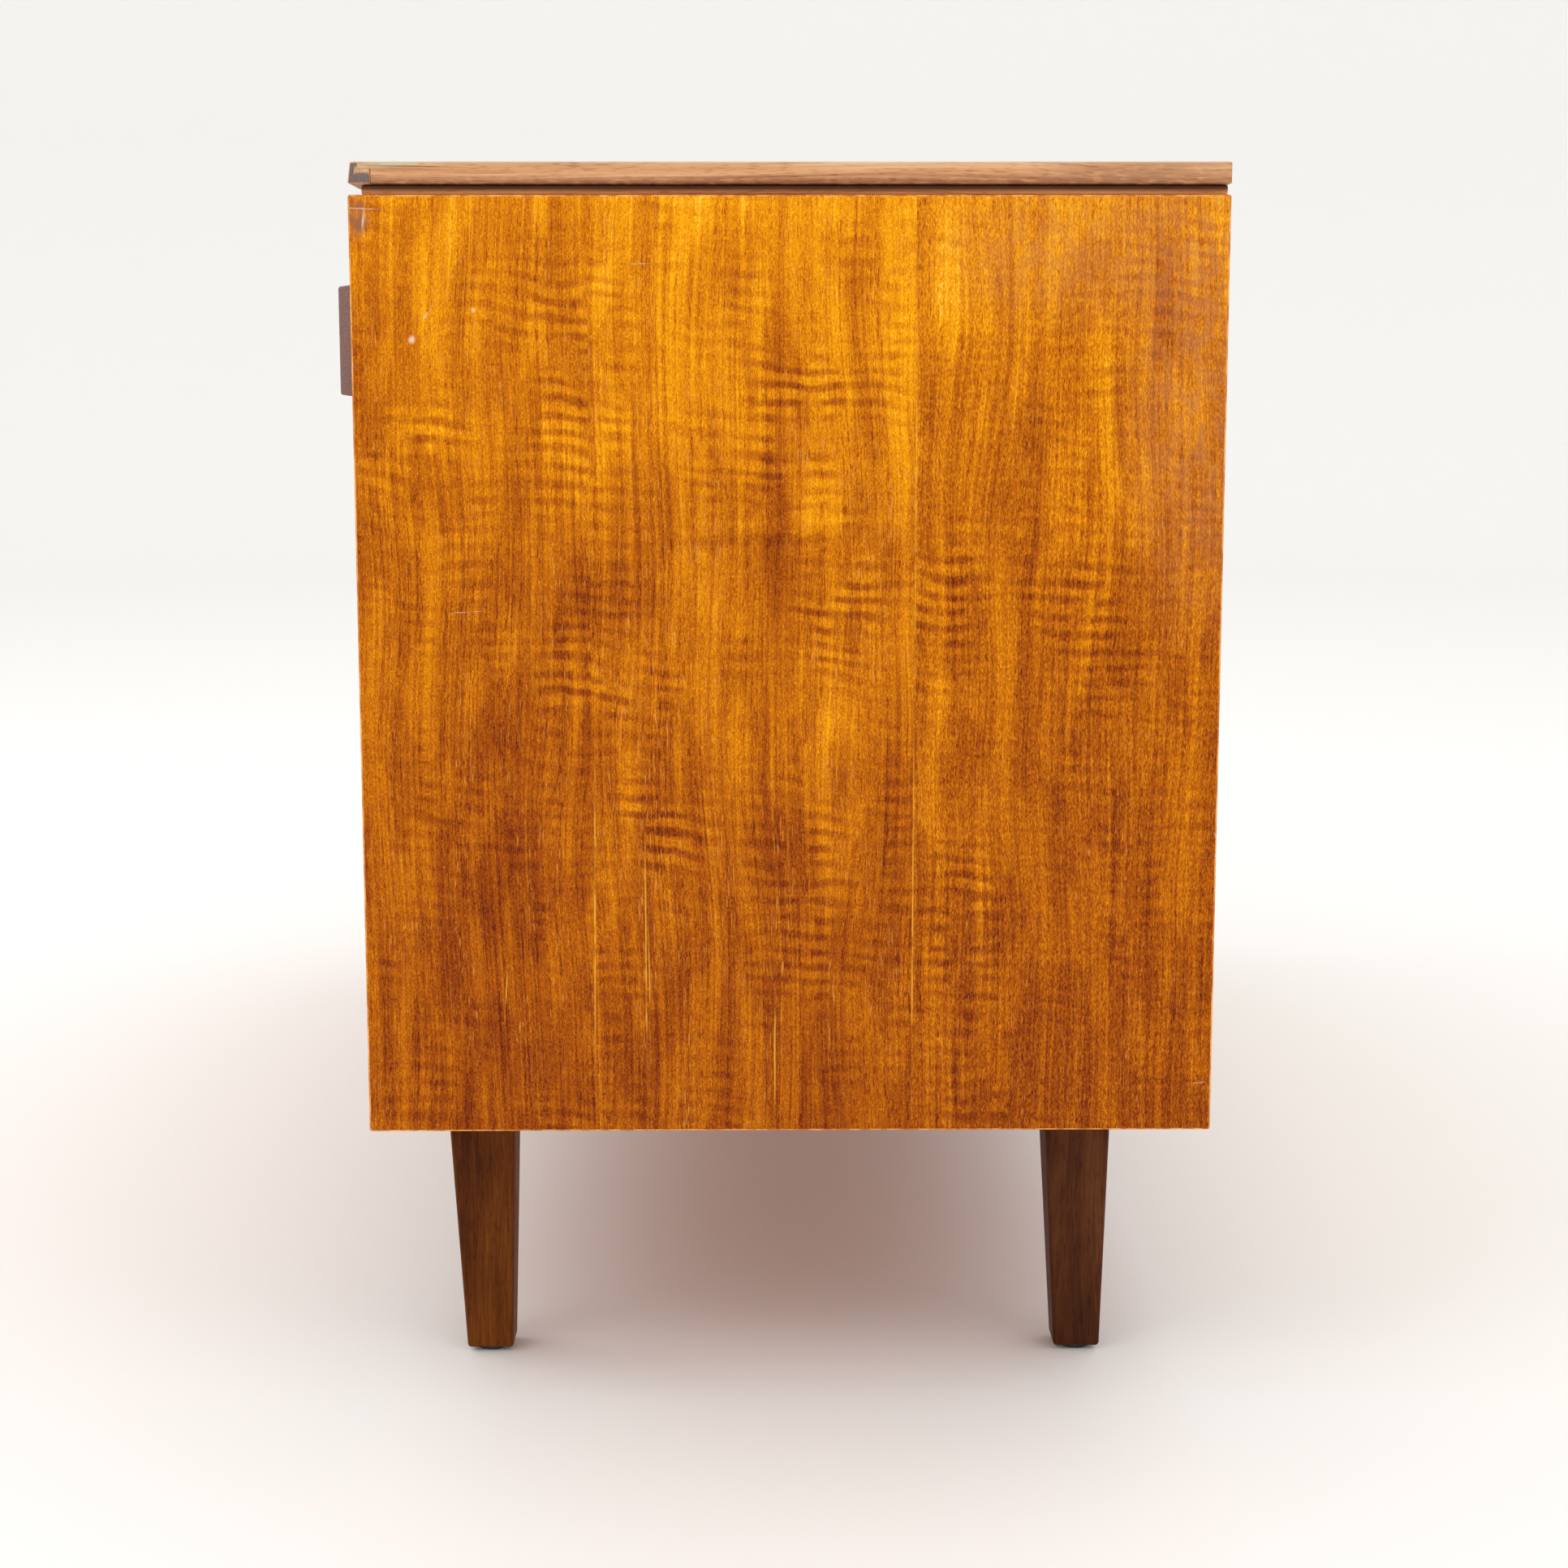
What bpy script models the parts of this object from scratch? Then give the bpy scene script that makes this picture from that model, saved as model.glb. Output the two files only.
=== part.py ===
"""A sideboard buffet: three drawers over three pin-hung doors, on four tapered legs.

Run it with blender --background --python part.py, or from Blender's text editor.
Sizes are in metres. +X runs along the length, to the right of someone who faces the front;
+Y runs from the front to the back; +Z is up. The origin is on the floor, under the middle
of the whole object's box, handles included.
"""

import bmesh
import bpy
from mathutils import Vector

MM = 0.001

# Driving dimensions
LENGTH = 1372 * MM
DEPTH = 521 * MM
HEIGHT = 762 * MM
BAYS = ("left", "centre", "right")

# The floating top: a thin slab on spacer rails that are set in, which leaves a shadow gap
TOP_THICK = 12.6 * MM
SHADOW_GAP = 6.4 * MM
LIPPING_WIDTH = 13.6 * MM
TOP_FRONT_LEAN = 1.7 * MM
SPACER_INSET = 7.2 * MM
SPACER_REAR_INSET = 1.0 * MM
SPACER_WIDTH = 45 * MM

# The carcass
END_THICK = 19 * MM
BOARD_THICK = 18 * MM
DRAWER_SHELF_THICK = 16 * MM
SHELF_THICK = 16 * MM
BACK_THICK = 5 * MM
BACK_INSET = 3 * MM
BACK_REBATE = 9 * MM

# Legs and glides
LEG_HEIGHT = 172 * MM
LEG_TOP_WIDTH = 44 * MM
LEG_FOOT_WIDTH = 30 * MM
LEG_END_INSET = 80 * MM
LEG_FRONT_INSET = 60.5 * MM
LEG_REAR_INSET = 73 * MM
LEG_FOOT_SHIFT = 2.6 * MM
GLIDE_RADIUS = 11 * MM
GLIDE_HEIGHT = 3 * MM

# Drawer fronts and doors stand a little behind the front edges of the carcass
FRONT_THICK = 18 * MM
FRONT_RECESS = 3 * MM
REVEAL = 1.6 * MM
DRAWER_FRONT_HEIGHT = 160 * MM

# Drawer boxes
SIDE_THICK = 12 * MM
SIDE_HEIGHT = 134 * MM
SIDE_LENGTH = 452 * MM
SIDE_CLEARANCE = 1.5 * MM
REBATE_DEPTH = 8 * MM
DRAWER_BACK_THICK = 12 * MM
DRAWER_BOTTOM_THICK = 4 * MM
GROOVE_DEPTH = 6 * MM
GROOVE_LIFT = 9 * MM

# Block pulls, lying on the drawers and upright on the doors
PULL_LENGTH = 150 * MM
PULL_WIDTH = 72.4 * MM
PULL_PROUD = 32.4 * MM
PULL_DEPTH = PULL_PROUD + FRONT_RECESS
PULL_WAIST_SHARE = 0.70
PULL_BASE_SCALE = 0.80
PULL_FACE_SCALE = 0.96
PULL_DOOR_INSET = 36 * MM
PULL_EASED = 1.2 * MM

# Pins that the doors turn on, standing in the boards above and below each door
PIN_RADIUS = 2.5 * MM
PIN_IN_BOARD = 9 * MM
PIN_IN_DOOR = 12 * MM
PIN_FROM_EDGE = 10 * MM
PIN_FROM_FACE = 4.5 * MM

FIT = 0.3 * MM
EASED = 0.8 * MM
SHELF_SETBACK = 55 * MM
SHELF_SIDE_GAP = 1.5 * MM

# Planes worked out from the sizes above
END_X = LENGTH / 2
FRONT_Y = PULL_PROUD - (DEPTH + PULL_PROUD) / 2
REAR_Y = FRONT_Y + DEPTH
CARCASS_BASE = LEG_HEIGHT + GLIDE_HEIGHT
CARCASS_TOP = HEIGHT - TOP_THICK - SHADOW_GAP
INNER_X = END_X - END_THICK
BAY_WIDTH = (2 * INNER_X - 2 * BOARD_THICK) / 3
FACE_Y = FRONT_Y + FRONT_RECESS
FACE_BACK_Y = FACE_Y + FRONT_THICK
BOARD_REAR_Y = REAR_Y - BACK_INSET - BACK_THICK - FIT
TOP_BOARD_BASE = CARCASS_TOP - BOARD_THICK
DRAWER_TOP = CARCASS_TOP - REVEAL
DRAWER_BASE = DRAWER_TOP - DRAWER_FRONT_HEIGHT
DRAWER_SHELF_TOP = DRAWER_BASE - REVEAL
DOOR_TOP = DRAWER_SHELF_TOP - DRAWER_SHELF_THICK - REVEAL
DOOR_BASE = CARCASS_BASE + BOARD_THICK + REVEAL
PULL_LEVEL = (DRAWER_TOP + DRAWER_BASE) / 2

MATERIALS = {
    "figured_veneer": ((0.55, 0.20, 0.02), 0.32, 0.0),
    "top_veneer": ((0.35, 0.17, 0.08), 0.36, 0.0),
    "walnut_lipping": ((0.42, 0.20, 0.09), 0.42, 0.0),
    "walnut_leg": ((0.10, 0.03, 0.01), 0.38, 0.0),
    "walnut_pull": ((0.13, 0.08, 0.07), 0.40, 0.0),
    "drawer_lining": ((0.60, 0.42, 0.25), 0.55, 0.0),
    "plywood": ((0.50, 0.33, 0.19), 0.65, 0.0),
    "brass": ((0.70, 0.50, 0.20), 0.30, 1.0),
    "glide_plastic": ((0.03, 0.025, 0.02), 0.45, 0.0),
}


# ---------------------------------------------------------------- helpers


def clear_scene():
    """Empties the open file without closing it."""
    for obj in list(bpy.data.objects):
        bpy.data.objects.remove(obj)


def make_collection(name):
    collection = bpy.data.collections.new(name)
    bpy.context.scene.collection.children.link(collection)
    return collection


def make_material(name):
    colour, roughness, metallic = MATERIALS[name]
    material = bpy.data.materials.new(name)
    material.use_nodes = True
    shader = material.node_tree.nodes["Principled BSDF"]
    shader.inputs["Base Color"].default_value = (*colour, 1.0)
    shader.inputs["Roughness"].default_value = roughness
    shader.inputs["Metallic"].default_value = metallic
    return material


def place(obj, name, collection, parent=None):
    """Names the object, moves it to its collection and parents it where it stands."""
    obj.name = name
    for old in list(obj.users_collection):
        old.objects.unlink(obj)
    collection.objects.link(obj)
    if parent is not None:
        obj.parent = parent
        obj.location = obj.location - parent.location
    return obj


def paint(obj, material):
    obj.data.materials.clear()
    obj.data.materials.append(bpy.data.materials[material])


def ease(obj, width, segments=1):
    """Breaks the sharp edges with a Bevel modifier."""
    bevel = obj.modifiers.new("eased_edges", "BEVEL")
    bevel.width = width
    bevel.segments = segments
    bevel.limit_method = "ANGLE"
    return bevel


def block(low, high):
    """A box primitive between two corners, with its scale applied."""
    low, high = Vector(low), Vector(high)
    bpy.ops.mesh.primitive_cube_add(size=1, location=(low + high) / 2)
    obj = bpy.context.object
    obj.scale = high - low
    bpy.ops.object.transform_apply(location=False, rotation=False, scale=True)
    return obj


def board(name, low, high, material, parent=None, eased=EASED):
    """A wooden board between two corners, with its arrises broken."""
    obj = place(block(low, high), name, PARTS, parent)
    paint(obj, material)
    ease(obj, eased)
    return obj


def cut(obj, cutter):
    """Takes the cutter's shape out of the object, and hides the cutter."""
    place(cutter, "cutter_" + obj.name, CUTTERS)
    cutter.hide_render = True
    cutter.display_type = "WIRE"
    boolean = obj.modifiers.new("cut", "BOOLEAN")
    boolean.operation = "DIFFERENCE"
    boolean.object = cutter


def rod(radius, low, high, sides=16):
    """A cylinder primitive standing along Z between two levels."""
    bpy.ops.mesh.primitive_cylinder_add(
        vertices=sides,
        radius=radius,
        depth=high.z - low.z,
        location=(low + high) / 2,
    )
    return bpy.context.object


def make_empty(name, location):
    empty = bpy.data.objects.new(name, None)
    empty.location = location
    PARTS.objects.link(empty)
    return empty


def bay_edges(bay):
    """The inner faces to the left and right of a bay."""
    left = -INNER_X + BAYS.index(bay) * (BAY_WIDTH + BOARD_THICK)
    return left, left + BAY_WIDTH


# ---------------------------------------------------------------- floating top


def build_top():
    """The veneered slab, solid lippings on three of its edges, and the rails it stands on."""
    base = HEIGHT - TOP_THICK
    inner_x = END_X - LIPPING_WIDTH
    inner_y = FRONT_Y + LIPPING_WIDTH
    board(
        "top_board",
        (-inner_x + FIT, inner_y + FIT, base),
        (inner_x - FIT, REAR_Y, HEIGHT),
        "top_veneer",
        eased=0.3 * MM,
    )
    front = board(
        "top_lipping_front",
        (-END_X, FRONT_Y, base),
        (END_X, inner_y, HEIGHT),
        "walnut_lipping",
    )
    for vert in front.data.vertices:
        if vert.co.y < 0 < vert.co.z:
            vert.co.y += TOP_FRONT_LEAN
    for side, sign in (("left", -1), ("right", 1)):
        ends = sorted((sign * inner_x, sign * END_X))
        board(
            "top_lipping_" + side,
            (ends[0], inner_y + FIT, base),
            (ends[1], REAR_Y, HEIGHT),
            "walnut_lipping",
        )


def build_spacers():
    """Four flat rails between the carcass and the slab, set in from the ends and the front."""
    low_z, high_z = CARCASS_TOP + FIT, HEIGHT - TOP_THICK - FIT
    outer_x = END_X - SPACER_INSET
    inner_x = outer_x - SPACER_WIDTH
    front_y = FRONT_Y + SPACER_INSET
    rear_y = REAR_Y - SPACER_REAR_INSET
    for side, sign in (("left", -1), ("right", 1)):
        ends = sorted((sign * inner_x, sign * outer_x))
        board(
            "spacer_" + side,
            (ends[0], front_y, low_z),
            (ends[1], rear_y, high_z),
            "walnut_lipping",
        )
    for side, y in (("front", front_y), ("rear", rear_y - SPACER_WIDTH)):
        board(
            "spacer_" + side,
            (-inner_x + FIT, y, low_z),
            (inner_x - FIT, y + SPACER_WIDTH, high_z),
            "walnut_lipping",
        )


# ---------------------------------------------------------------- carcass


def build_ends():
    """The two end panels, with a rebate along the back edge that the back panel lies in."""
    for side, sign in (("left", -1), ("right", 1)):
        ends = sorted((sign * INNER_X, sign * END_X))
        panel = board(
            "end_panel_" + side,
            (ends[0], FRONT_Y, CARCASS_BASE),
            (ends[1], REAR_Y, CARCASS_TOP),
            "figured_veneer",
        )
        cut_x = sorted((sign * (INNER_X - BACK_REBATE), sign * (INNER_X + BACK_REBATE)))
        cut(
            panel,
            block(
                (cut_x[0], BOARD_REAR_Y, CARCASS_BASE - BACK_REBATE),
                (cut_x[1], REAR_Y + BACK_REBATE, CARCASS_TOP + BACK_REBATE),
            ),
        )


def build_carcass():
    """The bottom and top boards, the two notched dividers and the back."""
    bottom = board(
        "carcass_bottom",
        (-INNER_X + FIT, FRONT_Y, CARCASS_BASE),
        (INNER_X - FIT, BOARD_REAR_Y, CARCASS_BASE + BOARD_THICK),
        "figured_veneer",
    )
    board(
        "carcass_top",
        (-INNER_X + FIT, FACE_BACK_Y + REVEAL, TOP_BOARD_BASE),
        (INNER_X - FIT, BOARD_REAR_Y, CARCASS_TOP),
        "figured_veneer",
    )
    notch_y = FACE_BACK_Y + REVEAL - FIT
    for side, sign in (("left", -1), ("right", 1)):
        centre = sign * (BAY_WIDTH + BOARD_THICK) / 2
        divider = board(
            "divider_" + side,
            (centre - BOARD_THICK / 2, FRONT_Y, CARCASS_BASE + BOARD_THICK + FIT),
            (centre + BOARD_THICK / 2, BOARD_REAR_Y, CARCASS_TOP),
            "figured_veneer",
        )
        cut(
            divider,
            block(
                (centre - BOARD_THICK, notch_y, TOP_BOARD_BASE - FIT),
                (centre + BOARD_THICK, REAR_Y, CARCASS_TOP + BOARD_THICK),
            ),
        )
    back_x = INNER_X + BACK_REBATE - FIT
    board(
        "back_panel",
        (-back_x, REAR_Y - BACK_INSET - BACK_THICK, CARCASS_BASE + EASED),
        (back_x, REAR_Y - BACK_INSET, CARCASS_TOP - EASED),
        "plywood",
        eased=0.3 * MM,
    )
    return bottom


def build_bay_boards():
    """In each bay, the fixed board that the drawer runs on and the loose cupboard shelf."""
    drawer_shelves = {}
    for bay in BAYS:
        left, right = bay_edges(bay)
        drawer_shelves[bay] = board(
            "drawer_shelf_" + bay,
            (left + FIT, FRONT_Y, DRAWER_SHELF_TOP - DRAWER_SHELF_THICK),
            (right - FIT, BOARD_REAR_Y, DRAWER_SHELF_TOP),
            "figured_veneer",
        )
        middle = (DOOR_TOP + DOOR_BASE) / 2
        board(
            "cupboard_shelf_" + bay,
            (left + SHELF_SIDE_GAP, FRONT_Y + SHELF_SETBACK, middle - SHELF_THICK / 2),
            (right - SHELF_SIDE_GAP, BOARD_REAR_Y - REVEAL, middle + SHELF_THICK / 2),
            "figured_veneer",
        )
    return drawer_shelves


# ---------------------------------------------------------------- legs


def build_legs():
    """Four square legs on low plastic glides, tapered most on the front side and least behind."""
    rows = (("front", FRONT_Y + LEG_FRONT_INSET), ("rear", REAR_Y - LEG_REAR_INSET))
    for side, sign in (("left", -1), ("right", 1)):
        x = sign * (END_X - LEG_END_INSET - LEG_TOP_WIDTH / 2)
        for row, y in rows:
            half = LEG_TOP_WIDTH / 2
            leg = board(
                f"leg_{row}_{side}",
                (x - half, y - half, GLIDE_HEIGHT),
                (x + half, y + half, CARCASS_BASE - FIT),
                "walnut_leg",
                eased=1.5 * MM,
            )
            for vert in leg.data.vertices:
                if vert.co.z < 0:
                    vert.co.xy *= LEG_FOOT_WIDTH / LEG_TOP_WIDTH
                    vert.co.y += LEG_FOOT_SHIFT
            build_glide(f"glide_{row}_{side}", x, y + LEG_FOOT_SHIFT)


def build_glide(name, x, y):
    """A turned button under a leg: its half profile, spun about the leg's axis."""
    top = GLIDE_HEIGHT - FIT
    profile = ((0, top), (GLIDE_RADIUS, top), (GLIDE_RADIUS, top / 2), (0.9 * GLIDE_RADIUS, 0), (0, 0))
    mesh = bpy.data.meshes.new(name)
    steps = range(len(profile) - 1)
    mesh.from_pydata([(r, 0, z) for r, z in profile], [(i, i + 1) for i in steps], [])
    glide = bpy.data.objects.new(name, mesh)
    glide.location = (x, y, 0)
    place(glide, name, PARTS)
    paint(glide, "glide_plastic")
    screw = glide.modifiers.new("turned", "SCREW")
    screw.steps = screw.render_steps = 20
    screw.use_merge_vertices = True
    screw.merge_threshold = 1e-5


# ---------------------------------------------------------------- pulls


def build_pull(name, centre_x, centre_z, upright, parent):
    """A flared block pull: undercut behind for the fingers, and its face a little smaller.

    It is widest at PULL_WAIST_SHARE of its depth, so that it is a convex block.
    """
    length, width = (PULL_WIDTH, PULL_LENGTH) if upright else (PULL_LENGTH, PULL_WIDTH)
    base_y = FACE_Y - FIT
    face_y = FRONT_Y - PULL_PROUD
    obj = block(
        (centre_x - length / 2, face_y, centre_z - width / 2),
        (centre_x + length / 2, base_y, centre_z + width / 2),
    )
    half = (base_y - face_y) / 2
    waist = half - 2 * half * PULL_WAIST_SHARE
    shape = bmesh.new()
    shape.from_mesh(obj.data)
    bmesh.ops.bisect_plane(
        shape,
        geom=[*shape.verts, *shape.edges, *shape.faces],
        plane_co=(0, waist, 0),
        plane_no=(0, 1, 0),
    )
    base_inset = (1 - PULL_BASE_SCALE) * PULL_WIDTH / 2
    face_inset = (1 - PULL_FACE_SCALE) * PULL_WIDTH / 2
    for vert in shape.verts:
        inset = base_inset if vert.co.y > waist + FIT else face_inset if vert.co.y < waist - FIT else 0
        vert.co.x -= inset if vert.co.x > 0 else -inset
        vert.co.z -= inset if vert.co.z > 0 else -inset
    shape.to_mesh(obj.data)
    shape.free()
    place(obj, name, PARTS, parent)
    paint(obj, "walnut_pull")
    ease(obj, PULL_EASED, segments=2)
    return obj


# ---------------------------------------------------------------- drawers


def build_drawer(bay):
    """A drawer that runs on its shelf: rebated front, grooved sides, a back and a thin bottom.

    Its empty stands at the middle of the front's face, and the drawer slides along Y from there.
    """
    left, right = bay_edges(bay)
    middle = (left + right) / 2
    origin = make_empty(f"drawer_{bay}", (middle, FACE_Y, PULL_LEVEL))
    low_x, high_x = left + REVEAL, right - REVEAL
    base_z = DRAWER_SHELF_TOP + FIT
    groove_z = base_z + GROOVE_LIFT
    bottom_z = (groove_z + FIT, groove_z + FIT + DRAWER_BOTTOM_THICK)
    groove_top = bottom_z[1] + FIT
    rebate_y = FACE_BACK_Y - REBATE_DEPTH
    side_rear = FACE_BACK_Y + SIDE_LENGTH

    front = board(
        f"drawer_{bay}_front",
        (low_x, FACE_Y, DRAWER_BASE),
        (high_x, FACE_BACK_Y, DRAWER_TOP),
        "figured_veneer",
        origin,
    )
    sides = {"left": left + SIDE_CLEARANCE, "right": right - SIDE_CLEARANCE - SIDE_THICK}
    inner = (sides["left"] + SIDE_THICK, sides["right"])
    for side, x in sides.items():
        outer = x - REBATE_DEPTH if side == "left" else x + SIDE_THICK + REBATE_DEPTH
        inside = x + SIDE_THICK + FIT if side == "left" else x - FIT
        rebate = sorted((outer, inside))
        cut(
            front,
            block(
                (rebate[0], rebate_y, DRAWER_BASE - REBATE_DEPTH),
                (rebate[1], FACE_BACK_Y + REBATE_DEPTH, DRAWER_TOP + REBATE_DEPTH),
            ),
        )
        side_board = board(
            f"drawer_{bay}_side_{side}",
            (x, rebate_y + FIT, base_z),
            (x + SIDE_THICK, side_rear, base_z + SIDE_HEIGHT),
            "drawer_lining",
            origin,
        )
        wall = inner[0] if side == "left" else inner[1]
        cut(
            side_board,
            block(
                (wall - GROOVE_DEPTH, rebate_y - GROOVE_DEPTH, groove_z),
                (wall + GROOVE_DEPTH, side_rear + GROOVE_DEPTH, groove_top),
            ),
        )
    cut(
        front,
        block(
            (inner[0] - GROOVE_DEPTH, FACE_BACK_Y - GROOVE_DEPTH, groove_z),
            (inner[1] + GROOVE_DEPTH, FACE_BACK_Y + GROOVE_DEPTH, groove_top),
        ),
    )
    board(
        f"drawer_{bay}_back",
        (inner[0] + FIT, side_rear - DRAWER_BACK_THICK, groove_top),
        (inner[1] - FIT, side_rear - FIT, base_z + SIDE_HEIGHT - GROOVE_LIFT),
        "drawer_lining",
        origin,
    )
    reach = GROOVE_DEPTH - 2 * FIT
    board(
        f"drawer_{bay}_bottom",
        (inner[0] - reach, FACE_BACK_Y - reach, bottom_z[0]),
        (inner[1] + reach, side_rear - FIT, bottom_z[1]),
        "plywood",
        origin,
        eased=0.3 * MM,
    )
    build_pull(f"drawer_{bay}_pull", middle, PULL_LEVEL, False, origin)


# ---------------------------------------------------------------- doors


def build_door(bay, hinge_side, board_above, board_below):
    """A door that turns on two brass pins near its hinge edge.

    The boards above and below hold the pins. The door's empty stands on the pins' axis.
    """
    left, right = bay_edges(bay)
    low_x, high_x = left + REVEAL, right - REVEAL
    if hinge_side == "left":
        pin_x = low_x + PIN_FROM_EDGE
        pull_x = high_x - PULL_DOOR_INSET - PULL_WIDTH / 2
    else:
        pin_x = high_x - PIN_FROM_EDGE
        pull_x = low_x + PULL_DOOR_INSET + PULL_WIDTH / 2
    pin_y = FACE_Y + PIN_FROM_FACE
    origin = make_empty(f"door_{bay}", (pin_x, pin_y, (DOOR_TOP + DOOR_BASE) / 2))
    door = board(
        f"door_{bay}_panel",
        (low_x, FACE_Y, DOOR_BASE),
        (high_x, FACE_BACK_Y, DOOR_TOP),
        "figured_veneer",
        origin,
    )
    levels = {
        "lower": (DOOR_BASE - REVEAL - PIN_IN_BOARD, DOOR_BASE + PIN_IN_DOOR, board_below),
        "upper": (DOOR_TOP - PIN_IN_DOOR, DOOR_TOP + REVEAL + PIN_IN_BOARD, board_above),
    }
    for level, (low_z, high_z, holder) in levels.items():
        low, high = Vector((pin_x, pin_y, low_z)), Vector((pin_x, pin_y, high_z))
        pin = place(rod(PIN_RADIUS, low, high), f"door_{bay}_pin_{level}", PARTS)
        paint(pin, "brass")
        slack = Vector((0, 0, FIT))
        for holed in (door, holder):
            cut(holed, rod(PIN_RADIUS + FIT, low - slack, high + slack))
    pull_z = DOOR_TOP - PULL_DOOR_INSET - PULL_LENGTH / 2
    build_pull(f"door_{bay}_pull", pull_x, pull_z, True, origin)


# ---------------------------------------------------------------- the whole


def main():
    build_top()
    build_spacers()
    build_ends()
    bottom = build_carcass()
    drawer_shelves = build_bay_boards()
    build_legs()
    for bay in BAYS:
        build_drawer(bay)
    for bay, hinge_side in (("left", "left"), ("centre", "left"), ("right", "right")):
        build_door(bay, hinge_side, drawer_shelves[bay], bottom)


clear_scene()
PARTS = make_collection("sideboard_buffet")
CUTTERS = make_collection("cutters")
for material_name in MATERIALS:
    make_material(material_name)
main()
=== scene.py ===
"""The looks of a sideboard buffet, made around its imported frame.

The carcass is veneered in golden, ripple-figured wood. It stands on four walnut legs, under a
thin walnut top whose set-in rails leave a shadow gap. Sizes are in metres, in the frame's own
axes: +X along the length, +Y from front to back, +Z up.
"""

import logging
import math
import random
from collections.abc import Callable, Iterable, Sequence
from dataclasses import dataclass, replace
from enum import Enum

import bmesh
import bpy
from mathutils import Matrix, Vector


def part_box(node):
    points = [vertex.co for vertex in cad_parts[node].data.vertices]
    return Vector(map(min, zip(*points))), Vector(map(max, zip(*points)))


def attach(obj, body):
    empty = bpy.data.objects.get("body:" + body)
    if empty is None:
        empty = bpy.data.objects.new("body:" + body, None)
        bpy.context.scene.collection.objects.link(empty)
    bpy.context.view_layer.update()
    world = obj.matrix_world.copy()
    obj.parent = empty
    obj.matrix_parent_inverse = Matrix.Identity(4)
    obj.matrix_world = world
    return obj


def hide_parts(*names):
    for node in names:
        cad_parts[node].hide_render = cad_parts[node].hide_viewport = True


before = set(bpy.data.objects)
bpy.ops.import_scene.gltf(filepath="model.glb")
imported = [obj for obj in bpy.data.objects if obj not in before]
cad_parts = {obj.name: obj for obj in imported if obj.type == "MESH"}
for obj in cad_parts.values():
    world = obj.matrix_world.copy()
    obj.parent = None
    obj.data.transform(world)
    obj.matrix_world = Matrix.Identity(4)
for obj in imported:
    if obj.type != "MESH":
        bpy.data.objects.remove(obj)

LOG = logging.getLogger("sideboard")
MM = 0.001
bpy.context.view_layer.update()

Socket = bpy.types.NodeSocket
Object = bpy.types.Object
Shape = bmesh.types.BMesh
Colour = tuple[float, float, float]


class Body(Enum):
    """The frame's rigid bodies."""

    CARCASS = "carcass"
    DRAWER_LEFT = "drawer_left"
    DRAWER_CENTRE = "drawer_centre"
    DRAWER_RIGHT = "drawer_right"
    DOOR_LEFT = "door_left"
    DOOR_CENTRE = "door_centre"
    DOOR_RIGHT = "door_right"


class Slot(Enum):
    """The record's material slots."""

    VENEER = "figured_veneer"
    TOP = "top_veneer"
    LIPPING = "walnut_lipping"
    LEG = "walnut_leg"
    PULL = "walnut_pull"
    LINING = "drawer_lining"
    PLYWOOD = "plywood"
    BRASS = "brass"
    GLIDE = "glide_plastic"


class Grain(Enum):
    """A board's axes: along its grain, across it on the show face, and through the board."""

    UPRIGHT_END = "ZYX"
    UPRIGHT_FRONT = "ZXY"
    LENGTHWISE_FLAT = "XYZ"
    LENGTHWISE_EDGE = "XZY"
    DEPTHWISE_FLAT = "YXZ"
    DEPTHWISE_EDGE = "YZX"


def paint(red: int, green: int, blue: int) -> Colour:
    """Gives the linear colour of a display colour.

    Args:
        red: The red level, 0 to 255.
        green: The green level, 0 to 255.
        blue: The blue level, 0 to 255.

    Returns:
        The three levels as a shader reads them.
    """

    def straighten(level: int) -> float:
        """Undoes the display curve for one level."""
        share = level / 255
        return share / 12.92 if share <= 0.04045 else ((share + 0.055) / 1.055) ** 2.4

    return straighten(red), straighten(green), straighten(blue)


# ---------------------------------------------------------------- node writing


class Nodes:
    """Adds nodes to a tree and joins them up."""

    tree: bpy.types.NodeTree

    def node(self, kind: str, **settings: object) -> bpy.types.Node:
        """Adds a node.

        Args:
            kind: The node's type name.
            **settings: Values for the node's own properties.

        Returns:
            The node.
        """
        made = self.tree.nodes.new(kind)
        for key, value in settings.items():
            setattr(made, key, value)
        return made

    def feed(self, socket: Socket, value: object) -> None:
        """Links a socket to another, or sets its value.

        Args:
            socket: The input.
            value: An output socket, a number or a colour.
        """
        if isinstance(value, Socket):
            self.tree.links.new(value, socket)
        elif isinstance(value, tuple) and len(value) == 3 and socket.type == "RGBA":
            socket.default_value = (*value, 1.0)
        else:
            socket.default_value = value

    def fill(self, made: bpy.types.Node, **values: object) -> None:
        """Feeds a node's inputs, whose names have underscores for spaces."""
        for key, value in values.items():
            self.feed(made.inputs[key.replace("_", " ")], value)

    def vector(self, *numbers: object) -> Socket:
        """Joins three sockets or numbers.

        Args:
            *numbers: The three.

        Returns:
            The vector's socket.
        """
        joined = self.node("ShaderNodeCombineXYZ")
        for socket, value in zip(joined.inputs, numbers):
            self.feed(socket, value)
        return joined.outputs[0]

    def maths(self, operation: str, *values: object) -> Socket:
        """Works a sum out on sockets or numbers.

        Args:
            operation: The Math node's operation.
            *values: What it takes.

        Returns:
            The answer's socket.
        """
        made = self.node("ShaderNodeMath", operation=operation)
        for socket, value in zip(made.inputs, values):
            self.feed(socket, value)
        return made.outputs[0]

    def times(self, value: object, factor: object) -> Socket:
        """Multiplies two sockets or numbers."""
        return self.maths("MULTIPLY", value, factor)


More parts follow.
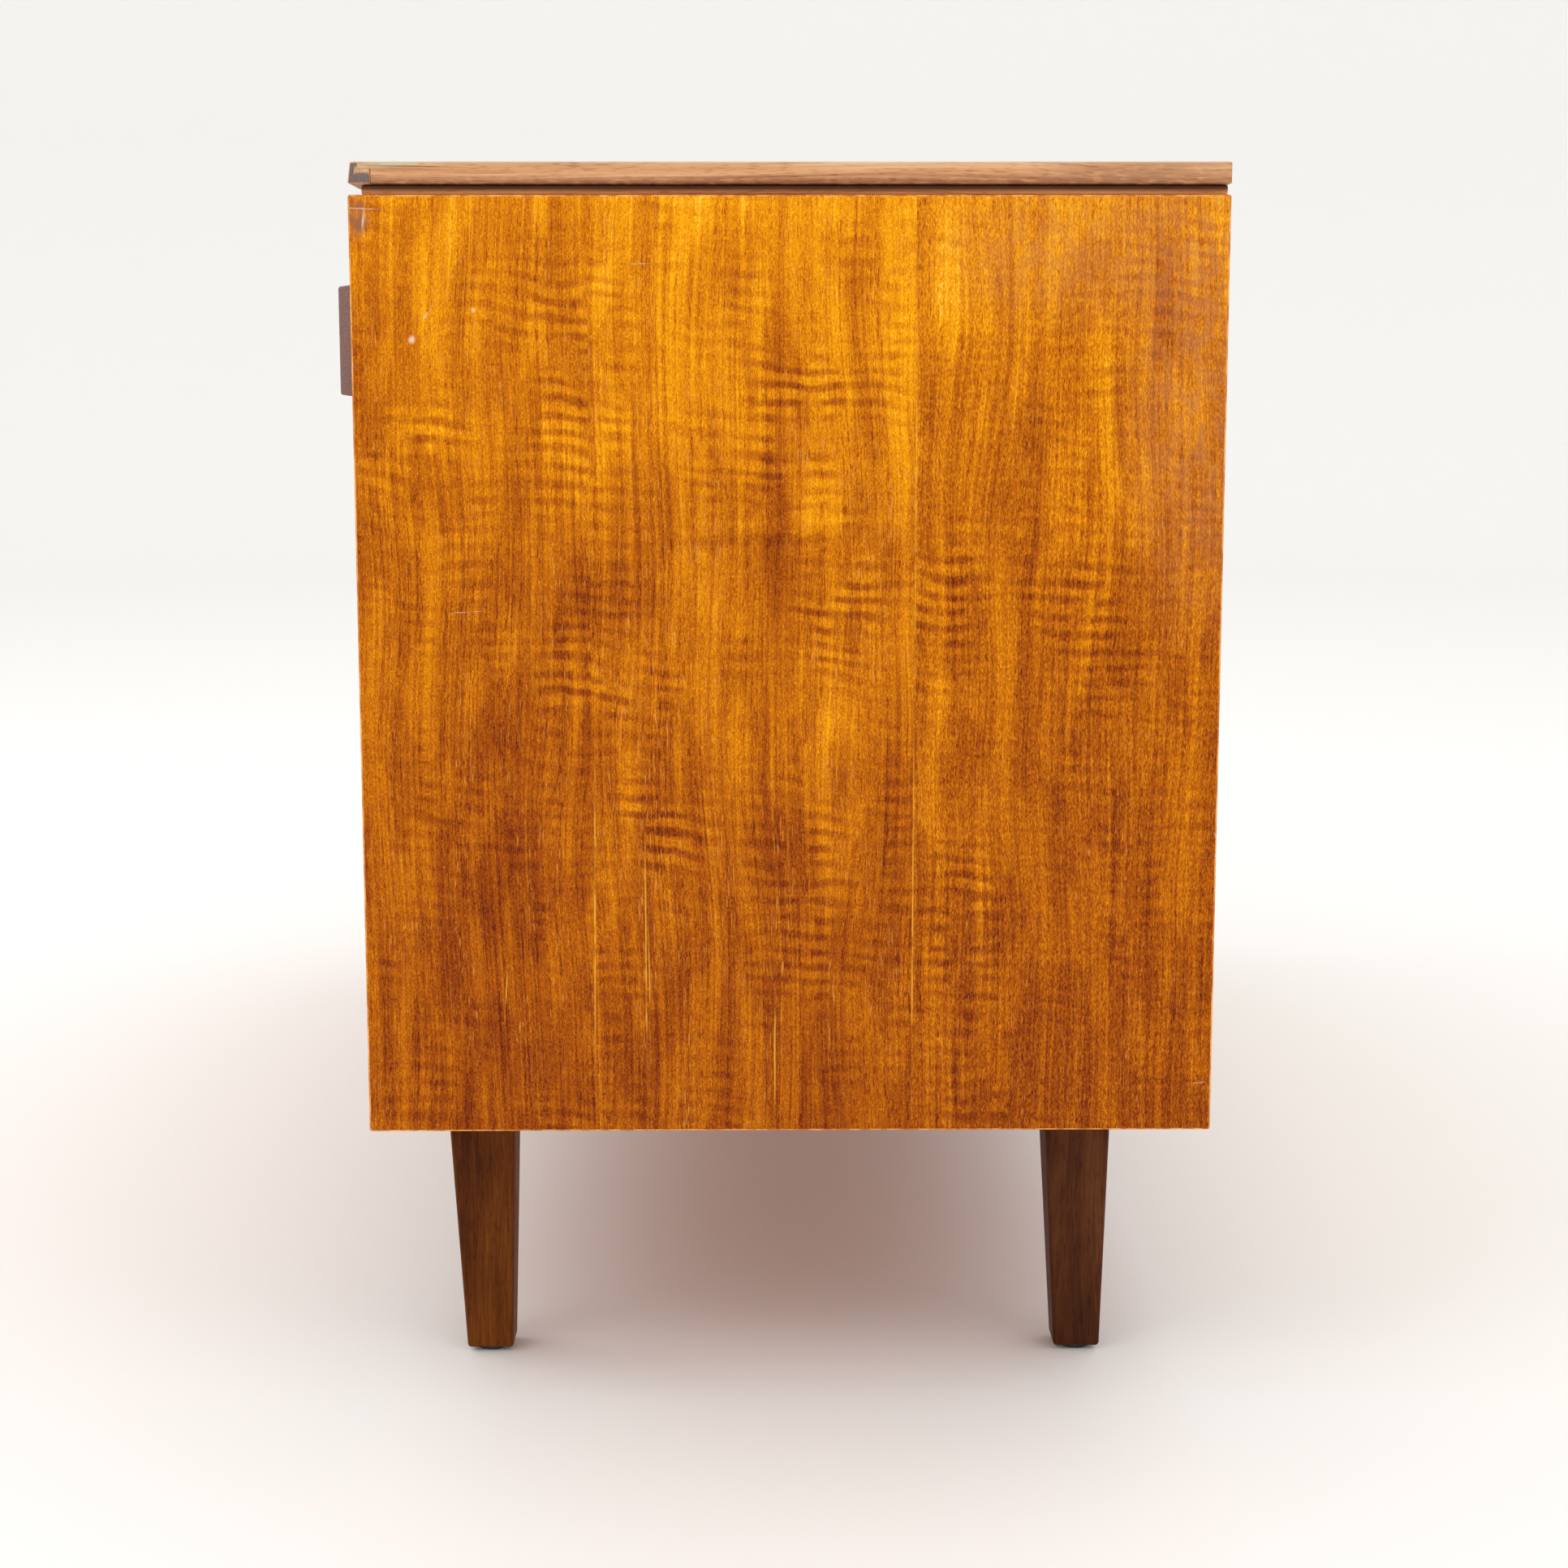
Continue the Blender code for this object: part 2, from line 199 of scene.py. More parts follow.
class Graph(Nodes):
    """Writes the shader nodes of one material."""

    def __init__(self, name: str) -> None:
        """Starts a material with a Principled shader.

        Args:
            name: The material's name.
        """
        self.material = bpy.data.materials.new(name)
        self.material.use_nodes = True
        self.tree = self.material.node_tree
        self.tree.nodes.clear()
        self.shader = self.node("ShaderNodeBsdfPrincipled")
        self.fill(self.node("ShaderNodeOutputMaterial"), Surface=self.shader.outputs["BSDF"])
        self.place = self.node("ShaderNodeTexCoord")

    def surface(self, **values: object) -> None:
        """Feeds the shader's inputs."""
        self.fill(self.shader, **values)

    def axes(self, kind: str = "Object") -> dict[str, Socket]:
        """Gives a coordinate's three numbers.

        Args:
            kind: The texture coordinate's name.

        Returns:
            The sockets, by axis letter.
        """
        parts = self.node("ShaderNodeSeparateXYZ")
        self.feed(parts.inputs[0], self.place.outputs[kind])
        return {letter: parts.outputs[letter] for letter in "XYZ"}

    def total(self, first: object, *others: object) -> Socket:
        """Adds up sockets or numbers.

        Args:
            first: The first.
            *others: The rest.

        Returns:
            Their sum.
        """
        for other in others:
            first = self.maths("ADD", first, other)
        return first

    def about(self, value: Socket, weight: float) -> Socket:
        """Centres a noise of mean 0.5 on 0, and weighs it."""
        return self.maths("MULTIPLY_ADD", value, weight, -0.5 * weight)

    def noise(self, at: Socket, detail: float = 2.0) -> Socket:
        """Adds a noise texture at unit scale.

        Args:
            at: The coordinates, already scaled.
            detail: The octaves.

        Returns:
            Its value, about 0.5.
        """
        made = self.node("ShaderNodeTexNoise")
        self.fill(made, Vector=at, Scale=1.0, Detail=detail, Roughness=0.5)
        return made.outputs[0]

    def cloud(self, cells: tuple[float, float, float], detail: float) -> Socket:
        """Adds a noise on the piece's own axes.

        Args:
            cells: How many cells it has to a metre along X, Y and Z.
            detail: The octaves.

        Returns:
            Its value, about 0.5.
        """
        place = self.axes()
        scaled = [self.times(place[letter], count) for letter, count in zip("XYZ", cells)]
        return self.noise(self.vector(*scaled), detail)

    def remap(self, value: Socket, low: float, high: float, to: tuple[float, float] = (0, 1)) -> Socket:
        """Stretches a range smoothly, and holds it at its ends.

        Args:
            value: What is stretched.
            low: The value that gives the new low end.
            high: The value that gives the new high end.
            to: The new range.

        Returns:
            The stretched value.
        """
        made = self.node("ShaderNodeMapRange", interpolation_type="SMOOTHSTEP")
        for socket, number in zip(made.inputs, (value, low, high, *to)):
            self.feed(socket, number)
        return made.outputs[0]

    def mix(self, share: object, first: object, second: object) -> Socket:
        """Mixes two colours.

        Args:
            share: How much of the second.
            first: The first colour.
            second: The second colour.

        Returns:
            The mixed colour.
        """
        made = self.node("ShaderNodeMix", data_type="RGBA")
        for number, value in ((0, share), (6, first), (7, second)):
            self.feed(made.inputs[number], value)
        return made.outputs[2]

    def ramp(self, value: Socket, stops: Sequence[tuple[float, Colour]]) -> Socket:
        """Colours a number.

        Args:
            value: The number, 0 to 1.
            stops: Places and their colours, in order.

        Returns:
            The colour.
        """
        made = self.node("ShaderNodeValToRGB")
        elements = made.color_ramp.elements
        while len(elements) < len(stops):
            elements.new(1.0)
        for element, (place, colour) in zip(elements, stops):
            element.position = place
            element.color = (*colour, 1.0)
        self.feed(made.inputs[0], value)
        return made.outputs[0]

    def bump(self, height: Socket, depth: float, strength: float = 1.0) -> Socket:
        """Turns a height into a normal.

        Args:
            height: The height, 0 to 1.
            depth: How deep 1 is, in metres.
            strength: How much of it shows.

        Returns:
            The normal.
        """
        made = self.node("ShaderNodeBump")
        self.fill(made, Height=height, Distance=depth, Strength=strength)
        return made.outputs[0]

    def spot(self, across: Socket, along: Socket, mark: "Mark") -> Socket:
        """Masks a soft oval.

        Args:
            across: The coordinate across the grain.
            along: The coordinate along the grain.
            mark: Where it is, and how large and strong.

        Returns:
            Its strength in the middle, and 0 outside.
        """
        x = self.times(self.maths("SUBTRACT", across, mark.across), 1 / mark.half_width)
        y = self.times(self.maths("SUBTRACT", along, mark.along), 1 / mark.half_length)
        x = self.maths("MULTIPLY_ADD", y, -mark.lean, x)
        reach = self.maths("SQRT", self.total(self.times(x, x), self.times(y, y)))
        return self.remap(reach, 0.15, 1.0, (mark.strength, 0.0))


@dataclass(frozen=True)
class Mark:
    """A soft oval on a board: a patch of figure, a streak, a worn place or a painted sheen."""

    across: float
    along: float
    half_width: float
    half_length: float
    strength: float
    lean: float = 0.0
    tint: Colour | None = None


# ---------------------------------------------------------------- finishes


@dataclass(frozen=True)
class Finish:
    """What every finish has: a name, and a material that is made once."""

    name: str

    def material(self) -> bpy.types.Material:
        """Gives the material, and makes it the first time."""
        return bpy.data.materials.get(self.name) or self.make()

    def make(self) -> bpy.types.Material:
        """Makes the material."""
        raise NotImplementedError


@dataclass(frozen=True)
class Leaf:
    """A veneer's coordinates: along the grain, across it on the show face, across it and
    round the edges, and the number that sets leaves and boards apart.
    """

    graph: Graph
    along: Socket
    across: Socket
    side: Socket
    deep: Socket

    def layer(self, width: float, length: float, shift: float, detail: float) -> Socket:
        """Adds a noise whose cells lie along the grain.

        Args:
            width: The cells' width, in millimetres.
            length: Their length, in millimetres.
            shift: What sets this layer apart from the others.
            detail: Its octaves.

        Returns:
            Its value, about 0.5.
        """
        g = self.graph
        wide = g.times(self.side, 1 / (width * MM))
        tall = g.times(self.along, 1 / (length * MM))
        return g.noise(g.vector(wide, g.total(self.deep, shift), tall), detail)

    def grit(self, width: float, length: float, detail: float, deep: object = None) -> Socket:
        """Adds a noise on the show face alone, with so many cells to a metre.

        Args:
            width: The cells to a metre across the grain.
            length: The cells to a metre along it.
            detail: Its octaves.
            deep: A number that sets it apart, or None for the leaf's own.

        Returns:
            Its value, about 0.5.
        """
        g = self.graph
        apart = self.deep if deep is None else deep
        return g.noise(g.vector(g.times(self.across, width), apart, g.times(self.along, length)), detail)

    def spot(self, mark: Mark) -> Socket:
        """Masks a mark's soft oval."""
        return self.graph.spot(self.across, self.along, mark)


@dataclass(frozen=True)
class FiguredVeneer(Finish):
    """Golden veneer in leaves, with pores, growth bands and a fiddleback ripple.

    The tone is a brightness from 0 to 1; layers of noise move it about a level that rises with
    the height, a painted light from above, and one colour ramp turns it into colour.
    """

    grain: Grain
    seed: float = 0.0
    leaf_width: float = 195 * MM
    leaf_start: float = -104 * MM
    patches: tuple[Mark, ...] = ()
    ripples: tuple[Mark, ...] = ()
    streaks: tuple[Mark, ...] = ()
    worn: tuple[Mark, ...] = ()
    # low, high, level, rise and crown set painted light: the veneer grows lighter towards its top
    low: float = 0.175
    high: float = 0.743
    level: float = 0.403
    rise: float = 0.150
    crown: float = 0.085
    # the colour of the painted sheen: a pale reflection laid by worn marks that have no tint
    sheen_tint: Colour = paint(184, 118, 76)
    curl: float = 0.7
    pitch: float = 10.4 * MM
    tilt: float = 0.08

    def make(self) -> bpy.types.Material:
        """Makes the material."""
        g = Graph(self.name)
        axes = g.axes()
        along, across, through = (axes[letter] for letter in self.grain.value)
        place = g.times(g.maths("SUBTRACT", across, self.leaf_start), 1 / self.leaf_width)
        number = g.maths("FLOOR", place)
        deep = g.total(g.times(number, 3.71), g.times(through, 40), self.seed)
        leaf = Leaf(g, along, across, g.total(across, g.times(through, 0.8)), deep)
        tone, grit = self.figure(leaf)
        leaf_tone = g.noise(g.vector(number, self.seed * 5 + 0.5, 2.5), 0)
        # painted light: the tone rises towards the top, as if lit from above
        tone = g.total(tone, g.about(leaf_tone, 0.12), self.lift(g, axes["Z"]))
        for mark in self.patches:
            tone = g.total(tone, leaf.spot(mark))
        colour = self.worn_and_sheened(leaf, self.streaked(leaf, g.ramp(tone, self.colours())))
        rough = g.maths("MULTIPLY_ADD", grit, -0.10, 0.44)
        g.surface(Base_Color=colour, Roughness=rough, Normal=g.bump(grit, 0.05 * MM, 0.5))
        g.surface(Specular_IOR_Level=0.09)
        return g.material

    def lift(self, g: Graph, height: Socket) -> Socket:
        """Paints light from above: makes the wood lighter towards its top.

        Args:
            g: The graph.
            height: The coordinate that points up.

        Returns:
            The level that the figure moves about.
        """
        share = g.times(g.maths("SUBTRACT", height, self.low), 1 / (self.high - self.low))
        steep = g.times(g.maths("POWER", g.maths("MAXIMUM", share, 0.0), 5.0), self.crown)
        return g.total(self.level, g.times(share, self.rise), steep)

    def figure(self, leaf: Leaf) -> tuple[Socket, Socket]:
        """Adds up the layers of the figure.

        Args:
            leaf: The veneer's coordinates.

        Returns:
            The tone, about 0, and the finest layers by themselves.
        """
        g = leaf.graph
        sway = g.about(leaf.layer(80, 240, 1.3, 1), 30 * MM)
        swayed = replace(leaf, side=g.total(leaf.side, sway))
        bands = swayed.layer(7.5, 480, 7.7, 2)
        lines = swayed.layer(1.5, 130, 4.1, 1)
        dashes = swayed.layer(0.60, 7.5, 9.9, 0)
        speckle = leaf.layer(0.50, 1.5, 12.4, 0)
        flecks = leaf.layer(1.1, 2.6, 14.9, 0)
        blotch = leaf.layer(55, 130, 2.9, 2)
        cells = g.remap(swayed.layer(17, 62, 6.3, 2), 0.43, 0.58, (-0.036, 0.036))
        rows = swayed.layer(2.4, 300, 17.3, 0)
        grit = g.total(g.times(speckle, 0.5), g.times(dashes, 0.5))
        pores = g.times(g.remap(dashes, 0.55, 0.67), g.remap(rows, 0.42, 0.62, (0.35, 1.0)))
        tone = g.total(
            g.about(bands, 0.18),
            g.about(lines, 0.28),
            g.about(dashes, 0.18),
            g.about(speckle, 0.36),
            g.about(flecks, 0.12),
            g.about(blotch, 0.17),
            cells,
            self.ripple(leaf),
        )
        return g.maths("SUBTRACT", tone, g.times(pores, 0.17)), grit

    def ripple(self, leaf: Leaf) -> Socket:
        """Makes the fiddleback: short, nearly level bands that come and go in patches.

        Args:
            leaf: The veneer's coordinates.

        Returns:
            What it adds to the tone, about 0.
        """
        g = leaf.graph
        level = g.maths("MULTIPLY_ADD", leaf.side, self.tilt, leaf.along)
        bend = g.about(leaf.layer(75, 70, 5.5, 1), 2.2)
        crinkle = g.about(leaf.layer(20, 12, 6.6, 0), 0.45)
        turns = g.total(g.times(level, 1 / self.pitch), bend, crinkle)
        wave = g.maths("SINE", g.times(turns, math.tau))
        thin = g.remap(wave, -0.7, 1.0, (0.50, -1.0))
        broken = g.remap(leaf.layer(20, 24, 8.8, 1), 0.36, 0.60, (0.05, 1.0))
        patch = g.remap(leaf.layer(34, 80, 3.4, 1), 0.42, 0.62, (0.10, self.curl))
        for mark in self.ripples:
            patch = g.total(patch, leaf.spot(mark))
        return g.times(g.times(thin, broken), g.times(patch, 0.105))

    def colours(self) -> list[tuple[float, Colour]]:
        """Lists the wood's colours by their brightness."""
        tones = (
            (0.16, (98, 28, 0)),
            (0.27, (134, 54, 0)),
            (0.38, (167, 81, 0)),
            (0.50, (201, 113, 0)),
            (0.62, (234, 147, 0)),
            (0.74, (254, 180, 10)),
            (0.90, (255, 226, 110)),
        )
        return [(place, paint(*rgb)) for place, rgb in tones]

    def streaked(self, leaf: Leaf, colour: Socket) -> Socket:
        """Lays pale hairlines, streaks and scratches over the wood.

        Args:
            leaf: The veneer's coordinates.
            colour: The wood's colour.

        Returns:
            The colour with the streaks.
        """
        g = leaf.graph
        zone = g.remap(leaf.grit(60, 9, 1), 0.45, 0.62, (0.0, 0.65))
        share = g.times(g.remap(leaf.grit(1450, 110, 0), 0.68, 0.80), zone)
        colour = g.mix(share, colour, paint(226, 150, 62))
        broken = g.remap(leaf.grit(500, 55, 2, 3.3), 0.42, 0.52, (0.25, 1.0))
        for mark in self.streaks:
            colour = g.mix(g.times(leaf.spot(mark), broken), colour, paint(248, 182, 58))
        return colour

    def worn_and_sheened(self, leaf: Leaf, colour: Socket) -> Socket:
        """Greys the places that are worn, and lays a painted sheen, a reflection, where a mark has no
        tint.

        Args:
            leaf: The veneer's coordinates.
            colour: The wood's colour.

        Returns:
            The colour with the worn places and the painted sheen.
        """
        g = leaf.graph
        patchy = g.remap(leaf.grit(160, 90, 3, 1.7), 0.35, 0.6, (0.25, 1.0))
        # marks without a tint lay the painted sheen, a reflection, not wear
        for mark in self.worn:
            colour = g.mix(g.times(leaf.spot(mark), patchy), colour, mark.tint or self.sheen_tint)
        return colour


@dataclass(frozen=True)
class Tones:
    """A wood's colours: three along the grain, and its end grain."""

    dark: Colour
    middle: Colour
    light: Colour
    end: Colour


@dataclass(frozen=True)
class SolidWood(Finish):
    """Straight-grained solid wood, with its own end grain where a board is cut across."""

    grain: Grain
    tones: Tones
    seed: float = 0.0
    roughness: float = 0.42
    band_width: float = 7 * MM
    pore_depth: float = 0.5
    blotch: float = 0.4
    gloss: float = 0.22
    # the heights over which painted shade darkens the wood towards a gap's top, or None
    gap_shade: tuple[float, float] | None = None
    worn: tuple[Mark, ...] = ()
    stains: tuple[Mark, ...] = ()

    def make(self) -> bpy.types.Material:
        """Makes the material."""
        g = Graph(self.name)
        axes = g.axes()
        along, across, through = (axes[letter] for letter in self.grain.value)
        place = g.total(g.times(along, 3.5), self.seed)
        drift = g.noise(g.vector(g.times(across, 8), g.times(through, 8), place), 1)
        side = g.total(across, g.about(drift, 22 * MM))

        def layer(width: float, length: float, shift: float, detail: float) -> Socket:
            """Adds a noise whose cells are width by width by length."""
            at = g.vector(
                g.times(side, 1 / width),
                g.total(g.times(through, 1 / width), shift),
                g.total(g.times(along, 1 / length), self.seed),
            )
            return g.noise(at, detail)

        bands = layer(self.band_width, 420 * MM, 3.1, 2)
        lines = layer(1.5 * MM, 90 * MM, 5.2, 2)
        blotch = layer(45 * MM, 120 * MM, 1.9, 2)
        pores = g.remap(layer(0.8 * MM, 9 * MM, 7.3, 1), 0.54, 0.70)
        tone = g.total(0.5, g.about(bands, 0.9), g.about(lines, 0.6), g.about(blotch, self.blotch))
        tone = g.maths("SUBTRACT", tone, g.times(pores, 0.35 * self.pore_depth))
        tones = self.tones
        colour = g.ramp(tone, ((0.15, tones.dark), (0.5, tones.middle), (0.85, tones.light)))
        speckle = g.noise(g.vector(g.times(across, 900), g.times(through, 900), 1.0), 2)
        dark_end = tuple(0.35 * level for level in tones.end)
        end = g.mix(g.remap(speckle, 0.4, 0.7, (0, 0.5)), tones.end, dark_end)
        facing = g.maths("ABSOLUTE", g.axes("Normal")[self.grain.value[0]])
        colour = g.mix(g.remap(facing, 0.75, 0.9), colour, end)
        colour = self.worn_and_shaded(g, colour, along, axes["Z"])
        rough = g.total(self.roughness, g.times(pores, 0.12), g.about(bands, 0.1))
        relief = g.maths("SUBTRACT", g.times(lines, 0.4), pores)
        g.surface(Base_Color=colour, Roughness=rough, Normal=g.bump(relief, 0.08 * MM, self.pore_depth))
        g.surface(Specular_IOR_Level=self.gloss)
        return g.material

    def worn_and_shaded(self, g: Graph, colour: Socket, along: Socket, height: Socket) -> Socket:
        """Lays wear, stains and the painted shade of a dark gap over the wood.

        Args:
            g: The graph.
            colour: The wood's colour.
            along: The coordinate along the grain.
            height: The coordinate that points up.

        Returns:
            The aged colour.
        """
        patchy = g.noise(g.vector(g.times(along, 130), 2.2, g.times(height, 420)), 3)
        for marks, tint in ((self.worn, paint(206, 196, 160)), (self.stains, paint(110, 62, 40))):
            for mark in marks:
                share = g.times(g.spot(along, height, mark), g.remap(patchy, 0.3, 0.55, (0.35, 1.0)))
                colour = g.mix(share, colour, tint)
        # painted shade: darker towards the top, where the slab above shades the gap
        if self.gap_shade:
            colour = g.mix(g.remap(height, *self.gap_shade, (0.0, 0.9)), colour, paint(52, 22, 8))
        return colour


@dataclass(frozen=True)
class RawWood(Finish):
    """Bare wood where the veneer's edge is worn or chipped; on the arrises its pale colour is also a
    painted highlight.
    """

    pale: Colour
    deep: Colour

    def make(self) -> bpy.types.Material:
        """Makes the material."""
        g = Graph(self.name)
        coarse, fine = g.cloud((160, 160, 60), 3), g.cloud((900, 900, 500), 2)
        share = g.remap(g.total(g.times(coarse, 0.7), g.times(fine, 0.3)), 0.38, 0.62)
        colour = g.mix(share, self.deep, self.pale)
        g.surface(Base_Color=colour, Roughness=g.remap(fine, 0.3, 0.7, (0.45, 0.7)))
        g.surface(Normal=g.bump(fine, 0.05 * MM), Specular_IOR_Level=0.25)
        return g.material


@dataclass(frozen=True)
class Plywood(Finish):
    """Rotary-cut plywood, with plies that show on its edges."""

    grain: Grain
    pale: Colour
    deep: Colour
    thickness: float = 5 * MM
    seed: float = 0.0

    def make(self) -> bpy.types.Material:
        """Makes the material."""
        g = Graph(self.name)
        axes = g.axes()
        along, across, through = (axes[letter] for letter in self.grain.value)
        drift = g.noise(g.vector(g.times(across, 3.2), self.seed, g.times(along, 1.1)), 1)
        rings = g.total(g.times(across, 20), g.about(drift, 12.0))
        contour = g.maths("FRACT", rings)
        ring = g.times(g.remap(contour, 0.35, 0.93), g.remap(contour, 0.93, 1.0, (1.0, 0.0)))
        cloud = g.noise(g.vector(g.times(across, 14), self.seed, g.times(along, 3)), 3)
        lines = g.noise(g.vector(g.times(across, 650), self.seed, g.times(along, 14)), 2)
        tone = g.total(0.62, g.about(cloud, 0.9), g.about(lines, 0.7), g.times(ring, -0.30))
        colour = g.mix(g.remap(tone, 0.2, 0.8), self.deep, self.pale)
        facing = g.maths("ABSOLUTE", g.axes("Normal")[self.grain.value[2]])
        ply = g.maths("FRACT", g.times(through, 3 / (2 * self.thickness)))
        edge = g.mix(g.remap(ply, 0.4, 0.6), paint(120, 82, 52), paint(196, 158, 112))
        colour = g.mix(g.remap(facing, 0.4, 0.6), edge, colour)
        g.surface(Base_Color=colour, Roughness=g.remap(lines, 0.3, 0.7, (0.6, 0.75)))
        g.surface(Normal=g.bump(lines, 0.05 * MM, 0.6), Specular_IOR_Level=0.2)
        return g.material


@dataclass(frozen=True)
class Metal(Finish):
    """Drawn or pressed metal, a little dull and streaked."""

    pale: Colour
    deep: Colour
    roughness: float = 0.32

    def make(self) -> bpy.types.Material:
        """Makes the material."""
        g = Graph(self.name)
        streak, stain = g.cloud((300, 300, 900), 3), g.cloud((80, 80, 80), 2)
        colour = g.mix(g.remap(stain, 0.35, 0.65), self.deep, self.pale)
        rough = g.total(self.roughness, g.about(streak, 0.25), g.about(stain, 0.2))
        g.surface(Base_Color=colour, Roughness=rough, Metallic=1.0)
        g.surface(Normal=g.bump(streak, 0.02 * MM, 0.5))
        return g.material


@dataclass(frozen=True)
class MouldedPlastic(Finish):
    """Dark moulded plastic, scuffed and a little gritty."""

    colour: Colour
    scuffed: Colour

    def make(self) -> bpy.types.Material:
        """Makes the material."""
        g = Graph(self.name)
        scuff, grit = g.cloud((420, 420, 900), 3), g.cloud((2500, 2500, 2500), 2)
        worn = g.remap(scuff, 0.5, 0.68)
        g.surface(Base_Color=g.mix(worn, self.colour, self.scuffed))
        g.surface(Roughness=g.total(0.42, g.times(worn, 0.2)), Normal=g.bump(grit, 0.03 * MM))
        return g.material


@dataclass(frozen=True)
class Backdrop(Finish):
    """The pale floor and the sweep behind it."""

    pale: Colour
    roughness: float = 0.6

    def make(self) -> bpy.types.Material:
        """Makes the material."""
        g = Graph(self.name)
        g.surface(Base_Color=self.pale, Roughness=self.roughness, Specular_IOR_Level=0.2)
        return g.material


# ---------------------------------------------------------------- mesh helpers


def node_mesh(node: str) -> Shape:
    """Copies a frame node's mesh, welded, with each flat side one face.

    Args:
        node: The node's name.

    Returns:
        The copy.
    """
    shape = bmesh.new()
    shape.from_mesh(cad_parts[node].data)
    bmesh.ops.remove_doubles(shape, verts=shape.verts, dist=0.01 * MM)
    bmesh.ops.dissolve_limit(shape, angle_limit=math.radians(1), verts=shape.verts, edges=shape.edges)
    return shape


def new_object(name: str, shape: Shape, *finishes: Finish) -> Object:
    """Makes an object from a mesh that is being edited, and frees that.

    Args:
        name: The object's name.
        shape: The mesh.
        *finishes: One for each of its material slots.

    Returns:
        The object, in the scene.
    """
    mesh = bpy.data.meshes.new(name)
    shape.to_mesh(mesh)
    shape.free()
    made = bpy.data.objects.new(name, mesh)
    for finish in finishes:
        mesh.materials.append(finish.material())
    bpy.context.scene.collection.objects.link(made)
    return made


def settle(piece: Object) -> Object:
    """Turns a piece with live modifiers into a plain mesh.

    Args:
        piece: The piece.

    Returns:
        The same piece, with no modifier.
    """
    graph = bpy.context.evaluated_depsgraph_get()
    mesh = bpy.data.meshes.new_from_object(piece.evaluated_get(graph), depsgraph=graph)
    piece.modifiers.clear()
    piece.data = mesh
    return piece


def round_edges(
    piece: Object,
    width: float,
    segments: int = 2,
    edge_slot: int = -1,
    sharp: Callable[[Vector], bool] = lambda middle: False,
) -> Object:
    """Rounds a board's arrises and keeps its flats flat.

    Args:
        piece: The board.
        width: How far the rounding reaches.
        segments: The rounding's faces.
        edge_slot: The material slot that arrises take, or -1 for the neighbours' own.
        sharp: Says of an edge's middle that the edge stays sharp.

    Returns:
        The same board, as a plain mesh.
    """
    shape = bmesh.new()
    shape.from_mesh(piece.data)
    weights = shape.edges.layers.float.new("bevel_weight_edge")
    for edge in shape.edges:
        middle = (edge.verts[0].co + edge.verts[1].co) / 2
        edge[weights] = edge.calc_face_angle(0.0) > math.radians(25) and not sharp(middle)
    for face in shape.faces:
        face.smooth = True
        if edge_slot >= 0 and max(abs(number) for number in face.normal) < 0.95:
            face.material_index = edge_slot
    shape.to_mesh(piece.data)
    shape.free()
    bevel = piece.modifiers.new("rounded", "BEVEL")
    bevel.width = width
    bevel.segments = segments
    bevel.limit_method = "WEIGHT"
    bevel.material = edge_slot
    weigh = piece.modifiers.new("flats", "WEIGHTED_NORMAL")
    weigh.weight = 100
    return settle(piece)


def publish(piece: Object, body: Body, slot: Slot | None, *nodes: str) -> Object:
    """Hands a finished piece to its body.

    Args:
        piece: The piece.
        body: The body that it moves with.
        slot: The record's slot, if it has one.
        *nodes: The frame's nodes that it stands for.

    Returns:
        The piece.
    """
    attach(piece, body.value)
    if nodes:
        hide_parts(*nodes)
    LOG.info("%s rides on %s, %d faces", piece.name, body.value, len(piece.data.polygons))
    return piece


def dress_node(node: str, finish: Finish) -> None:
    """Gives a frame node that stays its finish.

    Args:
        node: The node's name.
        finish: The finish.
    """
    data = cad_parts[node].data
    data.materials.clear()
    data.materials.append(finish.material())
    LOG.info("%s keeps its own mesh", node)


def refined(
    node: str,
    finish: Finish,
    body: Body,
    slot: Slot,
    arris: float = 0.28 * MM,
    segments: int = 2,
    name: str | None = None,
    worn: Finish | None = None,
) -> Object:
    """Replaces a node with a copy whose arrises are rounded.

    Args:
        node: The node's name.
        finish: Its finish.
        body: Its body.
        slot: Its slot in the record.
        arris: The rounding's reach.
        segments: The rounding's faces.
        name: The piece's name, or None for the node's with _board after it.
        worn: The finish of the arrises, or None for the board's own.

    Returns:
        The new piece.
    """
    finishes = (finish, worn) if worn else (finish,)
    piece = new_object(name or node + "_board", node_mesh(node), *finishes)
    round_edges(piece, arris, segments, 1 if worn else -1)
    return publish(piece, body, slot, node)


def block(low: Sequence[float], high: Sequence[float]) -> Shape:
    """Makes a plain box.

    Args:
        low: Its lowest corner.
        high: Its highest corner.

    Returns:
        The box.
    """
    shape = bmesh.new()
    low, high = Vector(low), Vector(high)
    size = high - low
    matrix = Matrix.Translation((low + high) / 2) @ Matrix.Diagonal((*size, 1))
    bmesh.ops.create_cube(shape, size=1, matrix=matrix)
    return shape


def prism(outline: Sequence[tuple[float, float]], low_x: float, high_x: float) -> Shape:
    """Extrudes an outline in Y and Z along X.

    Args:
        outline: Its corners, in order.
        low_x: Where it starts.
        high_x: Where it ends.

    Returns:
        The closed solid.
    """
    shape = bmesh.new()
    face = shape.faces.new([shape.verts.new((low_x, y, z)) for y, z in outline])
    moved = bmesh.ops.extrude_face_region(shape, geom=[face])
    verts = [item for item in moved["geom"] if isinstance(item, bmesh.types.BMVert)]
    bmesh.ops.translate(shape, verts=verts, vec=(high_x - low_x, 0, 0))
    bmesh.ops.recalc_face_normals(shape, faces=shape.faces)
    return shape


